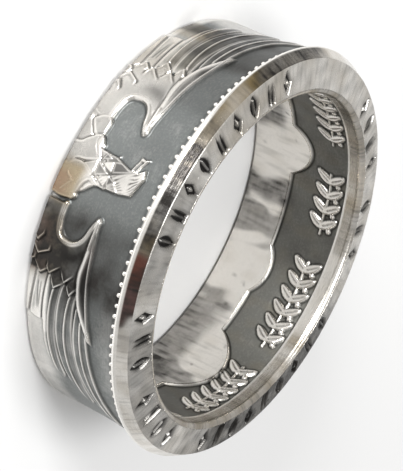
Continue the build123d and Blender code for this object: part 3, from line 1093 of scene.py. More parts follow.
@dataclass(frozen=True)
class EdgeMark:
    """A sunk mark's sizes in millimetres."""

    length: float = 1.44
    width: float = 0.68
    line: float = 0.21
    depth: float = 0.13
    dart_offset: float = 0.16
    vein: float = 0.045

    def distance(self, kind: MarkKind, x: Array, y: Array) -> Array:
        """Distance to the sunk line of a mark centred at the origin.

        Args:
            kind: The kind of mark.
            x: Millimetres round the ring from the mark's middle.
            y: Millimetres across the edge face from it.

        Returns:
            The distances, below zero where the mark is sunk.
        """
        half, tall = self.width / 2, self.length / 2
        if kind is MarkKind.LOZENGE:
            outer = (np.abs(x) / half + np.abs(y) / tall - 1) * half * 0.92
            core = (np.abs(x) / (half * 0.36) + np.abs(y) / (tall * 0.36) - 1) * half * 0.33
            return np.maximum(outer, -core)
        if kind is MarkKind.DARTS:
            taper = self.line * 0.62 * (1 - 0.55 * (y / tall + 0.5) ** 2)
            return np.maximum(np.abs(np.abs(x) - self.dart_offset) - taper, np.abs(y) - tall)
        bow = half * (1 - (y / tall) ** 2)
        outer = np.maximum((np.abs(x) - bow) * 0.9, np.abs(y) - tall)
        vein = np.maximum(np.abs(x) - self.vein, np.abs(y) - tall * 0.62)
        return np.maximum(outer, -vein)


# Edge patches: painted shade and straw tarnish on the bevel, painted shade on the face, painted dark
# reflections on the lip
BEVEL_PAINTED_SHADE = [
    Patch(-160, -136, 8, 0.80),
    Patch(-100, -77, 6, 0.92),
    Patch(-70, -58, 4, 0.72),
    Patch(36, 76, 12, 0.90),
    Patch(-113, -103, 6, 0.62),
    Patch(-56, -49, 5, 0.34),
]
BEVEL_STRAW = [Patch(-132, -99, 8, 0.60), Patch(-78, -66, 4, 0.70), Patch(-170, -134, 8, 0.25)]
FACE_PAINTED_SHADE = [
    Patch(34, 80, 20, 0.92),
    Patch(-50, -4, 9, 0.42),
    Patch(-93, -66, 6, 0.36),
    Patch(12, 24, 8, 0.38),
]
LIP_DARK_REFLECTION = [Patch(-6, 50, 12, 0.28), Patch(108, 122, 4, 0.26), Patch(146, 200, 6, 0.36)]


@dataclass
class CoinEdge:
    """The rim's sloping bevel, the coin's edge face with its sunk marks, and the lip into the bore."""

    sizes: BandSizes = SIZES
    mark: EdgeMark = EdgeMark()
    columns: int = 1180
    row_length: float = 0.055

    def __post_init__(self) -> None:
        """Works out the azimuths of its columns."""
        self.degrees = np.linspace(-180, 180, self.columns, endpoint=False)

    def section(self) -> tuple[Line, dict[str, int]]:
        """The skin's section from the rim crest to the foot of the lip.

        Returns:
            Its places, and the row at which each stretch starts.
        """
        s = self.sizes
        fall, rise = s.rim_radius - s.face_radius, s.face_height - s.rim_top
        bevel = [(s.rim_radius - 0.03, s.rim_top + 0.04)]
        bevel += [(s.rim_radius - t * fall, s.rim_top + t * rise) for t in np.linspace(0.10, 0.93, 13)]
        lip_r, lip_z = s.bore_radius + s.lip_round, s.band_width - s.lip_round
        lip_start = 90 - math.degrees(math.atan(s.face_slope))
        face_r = np.linspace(s.face_radius - 0.035, lip_r + 0.02, 33)
        corner = [(0.012, -0.03), (-0.006, -0.006)]
        stretches = {
            "start": [(s.rim_radius - 0.008, s.rim_top)],
            "bevel": bevel,
            "corner": [(s.face_radius + out, s.face_height + lift) for out, lift in corner],
            "face": [(r, s.face_height + (s.face_radius - r) * s.face_slope) for r in face_r],
            "lip": corner_round((lip_r, lip_z), s.lip_round, lip_start, 180, 8),
            "land": [(s.bore_radius, z) for z in np.linspace(lip_z, s.recess_top, 9)[1:]],
            "back": [(9.9, 6.38), (10.9, 6.37), (11.6, 6.36)],
        }
        section: Line = []
        first = {}
        for name, stretch in stretches.items():
            first[name] = len(section)
            section += stretch
        return section, first

    def marks(self, radius: Array, degrees: Array) -> Array:
        """Where the marks are sunk into the edge face.

        Args:
            radius: The face's radii.
            degrees: The face's azimuths.

        Returns:
            How deep each place lies in a mark, from 0 to 1.
        """
        s = self.sizes
        middle = (s.bore_radius + s.lip_round + s.face_radius) / 2
        sunk = np.zeros(degrees.shape)
        kinds = list(MarkKind)
        for group in EDGE_MARKS:
            for i in range(group.count):
                gap = turn_from(degrees, group.first_degrees + i * group.pitch_degrees)
                near = np.abs(gap) < 3.5
                x = middle * np.radians(gap[near])
                y = (radius[near] - middle) * math.hypot(1, s.face_slope)
                distance = self.mark.distance(kinds[i % len(kinds)], x, y)
                sunk[near] = np.maximum(sunk[near], smooth(0.035, -0.045, distance))
        return sunk

    def dents(self, around: Array, along: Array, first: dict[str, int]) -> Array:
        """The worn surface's soft waves, and small hits on the edge face.

        Args:
            around: Radians round the ring.
            along: Millimetres along the section.
            first: The row at which each stretch of the section starts.

        Returns:
            Heights over the clean surface in millimetres.
        """
        worn, face = slice(first["bevel"] + 2, first["land"]), slice(first["face"], first["lip"])
        dents = np.zeros(around.shape)
        dents[worn] = 0.004 * mottle(around[worn], along[worn], 1.8, 31)
        dents[worn] += 0.0012 * mottle(around[worn], along[worn], 0.5, 32)
        hits = np.clip(mottle(around, along, 0.4, 33, 22) - 1.3, 0, 1) * 0.05
        dents[face] -= hits[face]
        dents[worn] -= 0.004
        return dents

    def build(self) -> bpy.types.Object:
        """Builds the rim's closed skin.

        Returns:
            The rim and edge face.
        """
        s = self.sizes
        section, first = self.section()
        radius, height = level_rows(section, self.columns)
        degrees = np.broadcast_to(self.degrees[None, :], radius.shape)
        around = np.radians(degrees)
        along = np.broadcast_to(np.arange(len(section))[:, None] * self.row_length, radius.shape)
        face = slice(first["face"], first["lip"])
        sunk = np.zeros(radius.shape)
        sunk[face] = self.marks(radius[face], degrees[face])
        slope = math.atan(s.face_slope)
        shift = self.dents(around, along, first) - sunk * self.mark.depth
        radius = radius + shift * math.sin(slope) * (radius > s.bore_radius + 0.05)
        height = np.minimum(height + shift * math.cos(slope), s.band_width - 0.001)
        layers = self.wear_and_shade(degrees, along, sunk, first)
        return RingGrid("coin_edge", around[0], radius, height, layers, (0, first["back"] - 1)).build()

    def wear_and_shade(self, degrees: Array, along: Array, sunk: Array, first: dict[str, int]) -> dict[str, Array]:
        """The rim's tarnish: straw and brown on the bevel, black in the sunk marks, olive on the lip, and
        painted shade.

        Args:
            degrees: Azimuths of the grid places.
            along: Millimetres along the section.
            sunk: How deep each place lies in a mark.
            first: The row at which each stretch of the section starts.

        Returns:
            The wear, painted shade and painted highlight layers by name.
        """
        around = np.radians(degrees)
        bevel, face = slice(0, first["corner"]), slice(first["corner"], first["lip"])
        lip = slice(first["lip"], first["back"] - 2)
        hatch = np.clip(mottle(around, along * 0.12, 0.28, 46, 36), 0, 1)
        bend = degrees + 1.5 * mottle(around, along, 1.2, 42)
        wide = azimuth_stretch(degrees, -112, -20, 14)[bevel]
        crest = smooth(0.6, 1.0, np.arange(len(degrees))[bevel, None] / (1.2 + 3.0 * wide))

        polish_and_highlight = np.full(degrees.shape, 0.95)
        polish_and_highlight[face] = (0.88 + 0.13 * mottle(around, along, 1.1, 41) - 0.10 * hatch)[face]

        stain_and_shade = np.zeros(degrees.shape)
        # Painted shade and dark reflections on the bevel, with streaky tarnish, kept off the crest
        stain_and_shade[bevel] = (patched(BEVEL_PAINTED_SHADE, bend) + 0.20 * hatch)[bevel] * crest
        # Painted shade on the edge face, with mottled tarnish and hatching
        dull = patched(FACE_PAINTED_SHADE, bend) + 0.08 * mottle(around, along, 1.2, 45) + 0.12 * hatch
        stain_and_shade[face] = dull[face]
        # Painted dark reflections on the lip with hatched tarnish, left off from 82 to 102 degrees as a
        # painted highlight
        lip_reflection_and_hatch = patched(LIP_DARK_REFLECTION, bend) + 0.20 * hatch
        stain_and_shade[lip] = (lip_reflection_and_hatch * (1 - 0.9 * azimuth_stretch(bend, 82, 102, 8)))[lip]

        warm = np.zeros(degrees.shape)
        bevel_straw = patched(BEVEL_STRAW, bend) + 0.12 + 0.12 * mottle(around, along, 1.4, 43)
        warm[bevel] = bevel_straw[bevel] * crest
        face_straw = 0.10 + 0.12 * mottle(around, along, 2.2, 44) + 0.2 * azimuth_stretch(bend, -140, -112, 8)
        warm[face] = face_straw[face]
        # Less olive from 82 to 104 degrees, where the lip is kept bright as a painted highlight
        olive = (0.38 + 0.16 * mottle(around, along, 1.6, 47)) * (1 - 0.6 * azimuth_stretch(bend, 82, 104, 10))
        warm[lip] = olive[lip]

        rose = np.zeros(degrees.shape)
        rose[bevel] = (azimuth_stretch(bend, -72, -58, 3) * 0.85)[bevel] * crest
        cavity_and_shade = np.clip(np.maximum(sunk, box_blur(sunk, 2, 3) * 0.9), 0, 1)
        stain_and_shade, warm = np.clip(stain_and_shade, 0, 1), np.clip(warm, 0, 1)
        return {"polish_and_highlight": polish_and_highlight, "cavity_and_shade": cavity_and_shade, "stain_and_shade": stain_and_shade, "warm": warm, "rose": rose}


class Sprig(NamedTuple):
    """A raised laurel sprig: where its foot is, its leaf pairs' pitch and how many pairs."""

    foot_degrees: float
    pitch_degrees: float
    count: int


SPRIGS = [
    Sprig(68.0, 5.4, 6),
    Sprig(111.0, 5.4, 4),
    Sprig(145.0, 5.4, 6),
    Sprig(188.0, 5.4, 6),
    Sprig(231.0, 5.4, 4),
    Sprig(265.0, 5.4, 6),
    Sprig(308.0, 5.4, 6),
    Sprig(351.0, 5.4, 4),
    Sprig(385.0, 5.4, 6),
]


class Swell(NamedTuple):
    """A lobe of the polished land's wavy edge: where it is, half its width, and its share of the recess."""

    degrees: float
    half_width: float
    share: float


SWELLS = [
    Swell(50.0, 17.0, 0.49),
    Swell(92.0, 9.0, 0.16),
    Swell(137.0, 10.0, 0.34),
    Swell(182.0, 16.0, 0.45),
    Swell(226.0, 10.0, 0.25),
    Swell(262.0, 15.0, 0.50),
    Swell(305.0, 12.0, 0.30),
    Swell(345.0, 14.0, 0.42),
]
# Painted dark reflections on the polished land: clean-edged and ragged bands all the way up, and one of each
# low down only
LAND_DARK_REFLECTION = [Patch(117, 120.5, 4, 0.74), Patch(120, 162, 5, 0.04)]
RAGGED_DARK_REFLECTION = [Patch(104, 110, 5, 0.60), Patch(22, 41, 5, 0.55)]
LOW_DARK_REFLECTION = Patch(146, 200, 6, 0.75)
LOW_RAGGED_REFLECTION = Patch(34, 76, 6, 0.62)


@dataclass
class InnerBand:
    """The inside: a recessed band with laurel sprigs, a polished land with a wavy edge, and the cut edge."""

    sizes: BandSizes = SIZES
    columns: int = 1060
    fine_rows: int = 66
    fine_foot: float = 2.2
    under_radius: float = 10.4
    back_radius: float = 10.48
    leaf_length: float = 1.20
    leaf_width: float = 0.58
    leaf_tilt: float = 58.0
    berry_radius: float = 0.17
    berry_offset: float = 0.52
    ornament_relief: float = 0.11
    ornament_share: float = 0.70
    stem_radius: float = 0.09
    stem_relief: float = 0.085

    def __post_init__(self) -> None:
        """Works out the azimuths of its columns."""
        self.degrees = np.linspace(-180, 180, self.columns, endpoint=False)

    def laurel(self, degrees: Array, z: Array) -> Array:
        """The sprigs: leaf pairs, berries and a thin stem.

        Args:
            degrees: The recess's azimuths.
            z: The recess's heights in millimetres.

        Returns:
            Heights above the recess.
        """
        s = self.sizes
        relief = np.zeros(z.shape)
        middle = s.lower_land + self.ornament_share * (s.recess_top - s.lower_land)
        for sprig in SPRIGS:
            for i in range(sprig.count):
                gap = turn_from(degrees, sprig.foot_degrees + (i + 0.5) * sprig.pitch_degrees)
                near = (np.abs(gap) < 8) & (np.abs(z - middle) < 1.3)
                pair = self.leaf_pair(s.recess_radius * np.radians(gap[near]), z[near] - middle)
                relief[near] = np.maximum(relief[near], pair)
            half = sprig.count * sprig.pitch_degrees / 2
            gap = turn_from(degrees, sprig.foot_degrees + half)
            beyond = np.maximum(np.abs(gap) - half, 0) * 0.17
            wave = 0.04 * np.sin(s.recess_radius * np.radians(gap) * 2.2)
            stem = np.hypot(z - middle - wave, beyond) / self.stem_radius
            relief = np.maximum(relief, self.stem_relief * np.sqrt(np.clip(1 - stem**2, 0, 1)))
        return relief

    def leaf_pair(self, x: Array, y: Array) -> Array:
        """Two leaves that spread from one foot, and a berry.

        Args:
            x: Millimetres round the band from the foot.
            y: Millimetres along the bore from the foot.

        Returns:
            Heights above the recess.
        """
        total = np.zeros(x.shape)
        for side in (1, -1):
            turn = math.radians(side * self.leaf_tilt)
            u = (x * math.cos(turn) + y * math.sin(turn) + 0.14) / self.leaf_length
            v = -x * math.sin(turn) + y * math.cos(turn)
            v = v - side * 0.05 * np.sin(np.clip(u, 0, 1) * math.pi)
            bow = self.leaf_width / 2 * 1.1 * np.sqrt(np.clip(4 * u * (1 - u), 0, 1)) * (1 - 0.25 * u)
            inside = np.clip(1 - (v / np.maximum(bow, 1e-3)) ** 2, 0, 1) * ((u > 0) & (u < 1))
            leaf = self.ornament_relief * 1.1 * np.clip(inside * 1.6, 0, 1) ** 0.5
            vein = bump_at(v, 0, 0.035) * smooth(0.05, 0.2, u) * smooth(1.0, 0.8, u)
            total = np.maximum(total, leaf - 0.035 * vein * (inside > 0))
        gap = np.hypot(x + self.berry_radius, y - self.berry_offset) / self.berry_radius
        return np.maximum(total, self.ornament_relief * 1.15 * np.sqrt(np.clip(1 - gap**2, 0, 1)))

    def land_edge(self, degrees: Array) -> Array:
        """The polished land's wavy edge.

        Args:
            degrees: Azimuths.

        Returns:
            The edge's height in millimetres at each azimuth.
        """
        s = self.sizes
        edge = np.full(degrees.shape, s.lower_land + s.recess_slope / 2)
        for lobe in SWELLS:
            gap = turn_from(degrees, lobe.degrees)
            share = lobe.share * np.clip(1 - (gap / lobe.half_width) ** 2, 0, 1) ** 0.8
            edge = np.maximum(edge, s.lower_land + share * (s.recess_top - s.lower_land))
        return edge

    def build(self) -> bpy.types.Object:
        """Builds the inside's closed skin.

        Returns:
            The inside.
        """
        s = self.sizes
        top = [
            (s.bore_radius, s.recess_top),
            (s.bore_radius + 0.02, s.recess_top - 0.012),
            (s.recess_radius - 0.05, s.recess_top - 0.07),
        ]
        lower = [(s.bore_radius, z) for z in np.linspace(self.fine_foot, s.cut_edge_round, 9)[1:]]
        centre = (s.bore_radius + s.cut_edge_round, s.cut_edge_round)
        lower += [*corner_round(centre, s.cut_edge_round, 180, 270, 6)[1:], (self.under_radius, 0.0)]
        back = [(self.back_radius, z) for z in (0.25, 3.0, 6.3)]

        fine_z = np.linspace(s.recess_top - s.recess_slope, self.fine_foot, self.fine_rows)
        degrees, z = np.meshgrid(self.degrees, fine_z)
        around = np.radians(degrees)
        above = z - self.land_edge(degrees)
        land = smooth(0.07, -0.07, above)
        laurel = self.laurel(degrees, z) * (1 - land)
        depth = (s.recess_radius - s.bore_radius) * (1 - land) - laurel
        wobble = 0.006 * mottle(around, z, 2.6, 51) + 0.003 * mottle(around, z, 0.6, 52)
        inner = s.bore_radius + depth + np.maximum(wobble, 0) * 0.8

        parts = level_rows(top, self.columns), (inner, z), level_rows(lower + back, self.columns)
        radius, height = (np.vstack(rows) for rows in zip(*parts))
        fine = slice(len(top), len(top) + self.fine_rows)
        layers = self.wear_and_shade(height, fine, above, land, laurel)
        last = len(radius) - len(back) - 1
        return RingGrid("inner_band", np.radians(self.degrees), radius, height, layers, (0, last)).build()

    def wear_and_shade(self, height: Array, fine: slice, above: Array, land: Array, laurel: Array) -> dict[str, Array]:
        """The inside's look: painted dark reflections and stains on the polished land, and a dull recess.

        Args:
            height: The whole skin's heights in millimetres.
            fine: The rows with the land's edge and the laurel.
            above: Millimetres above the land's edge, on those rows.
            land: 1 on the polished land, on those rows.
            laurel: Heights of the laurel, on those rows.

        Returns:
            The wear, painted shade and painted highlight layers by name.
        """
        proud = laurel - box_blur(laurel, 2, 2)
        polish_and_highlight, cavity_and_shade, polished, bare = (np.full(height.shape, start) for start in (1.0, 0.0, 1.0, 0.0))
        polish_and_highlight[fine] = np.clip(np.maximum(land, smooth(0.03, 0.09, laurel) * 1.1 + 6 * proud), 0, 1)
        cavity_and_shade[fine] = np.clip(np.clip(-proud / 0.02, 0, 1) * 0.8 + bump_at(above, 0.09, 0.07) * 0.9, 0, 1)
        polished[fine] = land
        bare[fine] = (1 - land) * smooth(0.05, 0.02, laurel)

        turned = np.broadcast_to(self.degrees, height.shape)
        curve = np.radians(turned)
        bend = turned + 1.1 * mottle(curve, height, 1.6, 55)
        ragged = bend + 3.5 * mottle(curve, height * 0.6, 1.2, 59, 22)
        low = smooth(2.7, 1.3, height + 0.25 * mottle(curve, height, 1.4, 56))
        stains = np.clip(mottle(curve, height, 0.8, 54, 30) - 1.25, 0, 1) * 0.7
        streaks = np.clip(mottle(curve, height * 0.15, 0.4, 58, 34), 0, 1)
        # Painted dark reflections as bands on the polished land
        shade = patched(LAND_DARK_REFLECTION, bend) + patched(RAGGED_DARK_REFLECTION, ragged)
        shade += (LOW_RAGGED_REFLECTION.over(ragged) + LOW_DARK_REFLECTION.over(bend)) * low
        # Streaks are left off from 80 to 99 degrees, where the land is kept bright as a painted highlight
        shade += 0.20 * streaks * (1 - azimuth_stretch(turned, 80, 99, 8))
        dim = 0.30 + 0.10 * mottle(curve, height, 1.8, 57) + 0.12 * azimuth_stretch(turned, 97, 114, 5)
        recess = dim * bare * (1 - 0.8 * azimuth_stretch(turned, 50, 92, 8))
        stain_and_shade = np.clip((stains + shade) * polished + recess, 0, 1) * (height > 0.02)
        warm = 0.12 + 0.10 * np.clip(mottle(curve, height, 2.0, 60), 0, 1)
        rose = np.zeros(height.shape)
        return {"polish_and_highlight": polish_and_highlight, "cavity_and_shade": cavity_and_shade, "stain_and_shade": stain_and_shade, "warm": warm, "rose": rose}


def add_node(tree: Tree, kind: str, settings: dict[str, Any], links: dict[Any, Any]) -> bpy.types.Node:
    """Adds a node with its settings and links.

    Args:
        tree: The node tree.
        kind: The node's type name.
        settings: Properties by name, or input values by "in:NAME" or "in:INDEX".
        links: Input name or index to the output socket that feeds it.

    Returns:
        The node.
    """
    node = tree.nodes.new(kind)
    for name, value in settings.items():
        if name.startswith("in:"):
            key = name[3:]
            node.inputs[int(key) if key.isdigit() else key].default_value = value
        else:
            setattr(node, name, value)
    for name, socket in links.items():
        tree.links.new(socket, node.inputs[name])
    return node


@dataclass(frozen=True)
class StruckSilver:
    """Coin silver, oxidised dark in the field and rubbed bright where fingers touch it.

    To the eye it is a soft dark grey ground, warm white highs, a polished rim with brown tarnish, and fine
    scratches all over. Its dark patches are partly painted shade and painted dark reflections, and some
    bright edges are painted highlights. Stains, grain and scratches have real sizes in millimetres.
    """

    name: str = "struck_silver"
    bright: str = "#f7f4ef"
    field: str = "#747776"
    # Colour of oxide in the hollows, and of painted shade
    cavity_and_shade: str = "#242322"
    tan: str = "#978562"
    rose: str = "#7a3a34"
    # Colour of stains, and of painted shade and painted dark reflections
    stain_and_shade: str = "#3a3836"
    bright_roughness: float = 0.24
    field_roughness: float = 0.46
    # Real scratches stand closer, and these are as coarse as they need to be to show
    scratch_spacing: float = 0.07
    scratch_depth: float = 0.012
    grain_size: float = 0.12
    stain_size: float = 1.1

    def build(self) -> bpy.types.Material:
        """Builds the material.

        Returns:
            The material.
        """
        material = bpy.data.materials.new(self.name)
        material.use_nodes = True
        tree = material.node_tree
        tree.nodes.clear()
        output = add_node(tree, "ShaderNodeOutputMaterial", {}, {})
        layers = {
            layer: add_node(tree, "ShaderNodeAttribute", {"attribute_name": layer}, {}).outputs["Fac"]
            for layer in ("polish_and_highlight", "cavity_and_shade", "stain_and_shade", "warm", "rose")
        }
        coordinates = add_node(tree, "ShaderNodeTexCoord", {}, {})
        uv = add_node(tree, "ShaderNodeUVMap", {"uv_map": "band"}, {})
        mottling = []
        for size, detail in ((self.stain_size, 4.0), (self.grain_size, 3.0)):
            settings = {"in:Scale": 1 / (size * MM), "in:Detail": detail, "in:Roughness": 0.6}
            links = {"Vector": coordinates.outputs["Object"]}
            mottling.append(add_node(tree, "ShaderNodeTexNoise", settings, links).outputs["Fac"])
        stains, grain = mottling
        lines = self.lines(tree, uv.outputs["UV"])
        level = layers["polish_and_highlight"]
        for noise, amount in ((stains, 0.20), (lines, 0.16), (grain, 0.14)):
            level = self.spread(tree, noise, amount, level)
        settings = {"in:From Min": 0.3, "in:From Max": 0.7, "in:To Min": 0.72, "in:To Max": 1.2}
        broken = add_node(tree, "ShaderNodeMapRange", settings, {"Value": stains}).outputs["Result"]
        multiply = {"operation": "MULTIPLY", "use_clamp": True}
        stain_and_shade = add_node(tree, "ShaderNodeMath", multiply, {0: layers["stain_and_shade"], 1: broken}).outputs[0]
        ends = {"data_type": "RGBA", "in:6": hex_colour(self.field), "in:7": hex_colour(self.bright)}
        colour = add_node(tree, "ShaderNodeMix", ends, {0: level}).outputs[2]
        codes = {"warm": self.tan, "rose": self.rose, "stain_and_shade": self.stain_and_shade, "cavity_and_shade": self.cavity_and_shade}
        for layer, code in codes.items():
            blend = {"data_type": "RGBA", "in:7": hex_colour(code)}
            factor = stain_and_shade if layer == "stain_and_shade" else layers[layer]
            colour = add_node(tree, "ShaderNodeMix", blend, {0: factor, 6: colour}).outputs[2]
        settings = {"in:To Min": self.field_roughness, "in:To Max": self.bright_roughness}
        rough = add_node(tree, "ShaderNodeMapRange", settings, {"Value": level}).outputs["Result"]
        links = {"Base Color": colour, "Roughness": rough, "Normal": self.scratches(tree, lines, grain)}
        shader = add_node(tree, "ShaderNodeBsdfPrincipled", {"in:Metallic": 1.0}, links)
        tree.links.new(shader.outputs["BSDF"], output.inputs["Surface"])
        return material

    @staticmethod
    def spread(tree: Tree, noise: Any, amount: float, level: Any) -> Any:
        """Adds a noise round its middle to a level, kept from 0 to 1.

        Args:
            tree: The node tree.
            noise: The noise's socket.
            amount: How far it moves the level each way.
            level: The level's socket.

        Returns:
            The new level's socket.
        """
        middle = {"operation": "SUBTRACT", "in:1": 0.5}
        centred = add_node(tree, "ShaderNodeMath", middle, {0: noise}).outputs[0]
        settings = {"operation": "MULTIPLY_ADD", "use_clamp": True, "in:1": amount * 2}
        return add_node(tree, "ShaderNodeMath", settings, {0: centred, 2: level}).outputs[0]

    def lines(self, tree: Tree, uv: Any) -> Any:
        """Fine scratches along, across and aslant the band, averaged to a value round 0.5.

        Args:
            tree: The node tree.
            uv: The unrolled band's coordinates in millimetres.

        Returns:
            The average's socket.
        """
        total = None
        noise = {"in:Scale": 1 / self.scratch_spacing, "in:Detail": 2.0, "in:Roughness": 0.6}
        add = {"operation": "ADD"}
        for turn, stretch, seed in ((0.0, 14.0, 3.0), (math.pi / 2 - 0.12, 10.0, 9.0), (0.7, 9.0, 17.0)):
            turned = {"in:Rotation": (0, 0, turn), "in:Location": (seed, seed, 0)}
            turned["in:Scale"] = (1 / stretch, 1, 1)
            mapping = add_node(tree, "ShaderNodeMapping", turned, {"Vector": uv}).outputs["Vector"]
            line = add_node(tree, "ShaderNodeTexNoise", noise, {"Vector": mapping}).outputs["Fac"]
            if total is None:
                total = line
            else:
                total = add_node(tree, "ShaderNodeMath", add, {0: total, 1: line}).outputs[0]
        return add_node(tree, "ShaderNodeMath", {"operation": "DIVIDE", "in:1": 3.0}, {0: total}).outputs[0]

    def scratches(self, tree: Tree, lines: Any, grain: Any) -> Any:
        """The scratches over a faint grain, as one bump.

        Args:
            tree: The node tree.
            lines: The scratches' socket.
            grain: The grain's socket.

        Returns:
            The normal's socket.
        """
        weight = {"operation": "MULTIPLY_ADD", "in:1": 3.0}
        height = add_node(tree, "ShaderNodeMath", weight, {0: lines, 2: grain}).outputs[0]
        settings = {"in:Strength": 0.35, "in:Distance": self.scratch_depth * MM}
        return add_node(tree, "ShaderNodeBump", settings, {"Height": height}).outputs["Normal"]


@dataclass(frozen=True)
class BorderBeads:
    """The row of small round beads along the rim's foot, as one Geometry Nodes tree."""

    count: int = 120
    radius: float = 0.145
    ring_radius: float = 11.56
    height: float = 5.99
    smallest: float = 0.86
    largest: float = 1.06
    seed: int = 5

    def tree(self, material: bpy.types.Material) -> tuple[Tree, dict[str, str]]:
        """Builds the node tree.

        Args:
            material: The beads' finish.

        Returns:
            The tree, and each named input's socket identifier.
        """
        tree = bpy.data.node_groups.new("border_beads", "GeometryNodeTree")
        names = {}
        for name in ("Bead count", "Bead radius", "Row radius", "Row height", "Seed"):
            kind = "NodeSocketInt" if name in ("Bead count", "Seed") else "NodeSocketFloat"
            names[name] = tree.interface.new_socket(name, in_out="INPUT", socket_type=kind).identifier
        tree.interface.new_socket("Beads", in_out="OUTPUT", socket_type="NodeSocketGeometry")
        given = add_node(tree, "NodeGroupInput", {}, {}).outputs
        links = {"Vertices": given["Bead count"], "Radius": given["Row radius"]}
        row = add_node(tree, "GeometryNodeMeshCircle", {}, links)
        raised = add_node(tree, "ShaderNodeCombineXYZ", {}, {"Z": given["Row height"]})
        half_pitch = {"in:Rotation": (0.0, 0.0, math.pi / self.count)}
        links = {"Geometry": row.outputs["Mesh"], "Translation": raised.outputs["Vector"]}
        turned = add_node(tree, "GeometryNodeTransform", half_pitch, links)
        links = {"Radius": given["Bead radius"]}
        ball = add_node(tree, "GeometryNodeMeshIcoSphere", {"in:Subdivisions": 2}, links)
        sizes = {"data_type": "FLOAT", "in:2": self.smallest, "in:3": self.largest}
        spread = add_node(tree, "FunctionNodeRandomValue", sizes, {"Seed": given["Seed"]})
        links = {"Points": turned.outputs["Geometry"], "Instance": ball.outputs["Mesh"]}
        links["Scale"] = spread.outputs[1]
        beads = add_node(tree, "GeometryNodeInstanceOnPoints", {}, links)
        polish_and_highlight = {"data_type": "FLOAT", "domain": "POINT", "in:Name": "polish_and_highlight", "in:Value": 1.0}
        made = beads.outputs["Instances"]
        for kind, settings in (
            ("GeometryNodeRealizeInstances", {}),
            ("GeometryNodeStoreNamedAttribute", polish_and_highlight),
            ("GeometryNodeSetShadeSmooth", {}),
            ("GeometryNodeSetMaterial", {"in:Material": material}),
        ):
            made = add_node(tree, kind, settings, {"Geometry": made}).outputs["Geometry"]
        add_node(tree, "NodeGroupOutput", {}, {0: made})
        return tree, names

    def build(self, material: bpy.types.Material) -> bpy.types.Object:
        """Makes the beads as a plain mesh.

        Args:
            material: The beads' finish.

        Returns:
            The beads.
        """
        tree, names = self.tree(material)
        carrier = bpy.data.objects.new("bead_row", bpy.data.meshes.new("bead_row"))
        bpy.context.scene.collection.objects.link(carrier)
        modifier = carrier.modifiers.new("beads", "NODES")
        modifier.node_group = tree
        values = {
            "Bead count": self.count,
            "Bead radius": self.radius * MM,
            "Row radius": self.ring_radius * MM,
            "Row height": self.height * MM,
            "Seed": self.seed,
        }
        for name, value in values.items():
            modifier[names[name]] = value
        graph = bpy.context.evaluated_depsgraph_get()
        mesh = bpy.data.meshes.new_from_object(carrier.evaluated_get(graph))
        mesh.name = "border_beads"
        bpy.data.objects.remove(carrier)
        made = bpy.data.objects.new("border_beads", mesh)
        bpy.context.scene.collection.objects.link(made)
        return made


@dataclass(frozen=True)
class PalePaper:
    """The floor's matt pale paper, which gives the eye an even ground with soft shadows and no gloss."""

    name: str = "pale_floor"
    colour: str = "#e0e0e0"
    roughness: float = 0.9

    def build(self) -> bpy.types.Material:
        """Builds the material.

        Returns:
            The material.
        """
        material = bpy.data.materials.new(self.name)
        material.use_nodes = True
        shader = material.node_tree.nodes["Principled BSDF"]
        shader.inputs["Base Color"].default_value = hex_colour(self.colour)
        shader.inputs["Roughness"].default_value = self.roughness
        return material


@dataclass(frozen=True)
class SoftLight:
    """A soft studio light: its place and size in metres, and its power in watts."""

    name: str
    place: tuple[float, float, float]
    size: float
    power: float
    target: tuple[float, float, float] = (0.0, 0.0, 0.004)

    def build(self) -> None:
        """Adds the light, aimed at the ring's middle."""
        lamp = bpy.data.lights.new(self.name, "AREA")
        lamp.shape = "DISK"
        lamp.size = self.size
        lamp.energy = self.power
        made = bpy.data.objects.new(self.name, lamp)
        bpy.context.scene.collection.objects.link(made)
        made.location = self.place
        aim = Vector(self.target) - made.location
        made.rotation_euler = aim.to_track_quat("-Z", "Y").to_euler()


@dataclass(frozen=True)
class PhotoCamera:
    """The camera: 26 degrees above the floor, and rolled so that the ring leans as in the photograph.

    Lengths are metres and angles radians. The focal length, the picture's size and its centre are pixels.
    """

    elevation: float = 0.4610015
    azimuth: float = math.radians(-85.5)
    roll: float = 2.0050224
    distance: float = 0.200
    target_height: float = 0.00707
    focal: float = 3713.73
    width: int = 403
    height: int = 471
    centre: Place = (257.554, 258.675)
    sensor: float = 24.0

    def build(self) -> None:
        """Adds the camera and makes it the scene's own."""
        level = math.cos(self.elevation)
        across_floor = level * math.cos(self.azimuth), level * math.sin(self.azimuth)
        back = Vector((*across_floor, math.sin(self.elevation)))
        origin = Vector((0, 0, self.target_height))
        spot = origin + back * self.distance
        level_x = Vector((0, 0, 1)).cross(back).normalized()
        level_y = back.cross(level_x)
        side = math.cos(self.roll) * level_x + math.sin(self.roll) * level_y
        rise = -math.sin(self.roll) * level_x + math.cos(self.roll) * level_y
        aim = origin + side * ((self.width / 2 - self.centre[0]) / self.focal * self.distance)
        aim += rise * (-(self.height / 2 - self.centre[1]) / self.focal * self.distance)
        z = (spot - aim).normalized()
        x = (side - z * side.dot(z)).normalized()
        y = z.cross(x)
        lens = bpy.data.cameras.new("camera")
        lens.sensor_fit = "VERTICAL"
        lens.sensor_height = self.sensor
        lens.lens = self.focal / self.height * self.sensor * ((spot - aim).length / self.distance)
        lens.clip_start = 0.01
        made = bpy.data.objects.new("camera", lens)
        bpy.context.scene.collection.objects.link(made)
        made.matrix_world = Matrix((*((x[i], y[i], z[i], spot[i]) for i in range(3)), (0, 0, 0, 1)))
        bpy.context.scene.camera = made


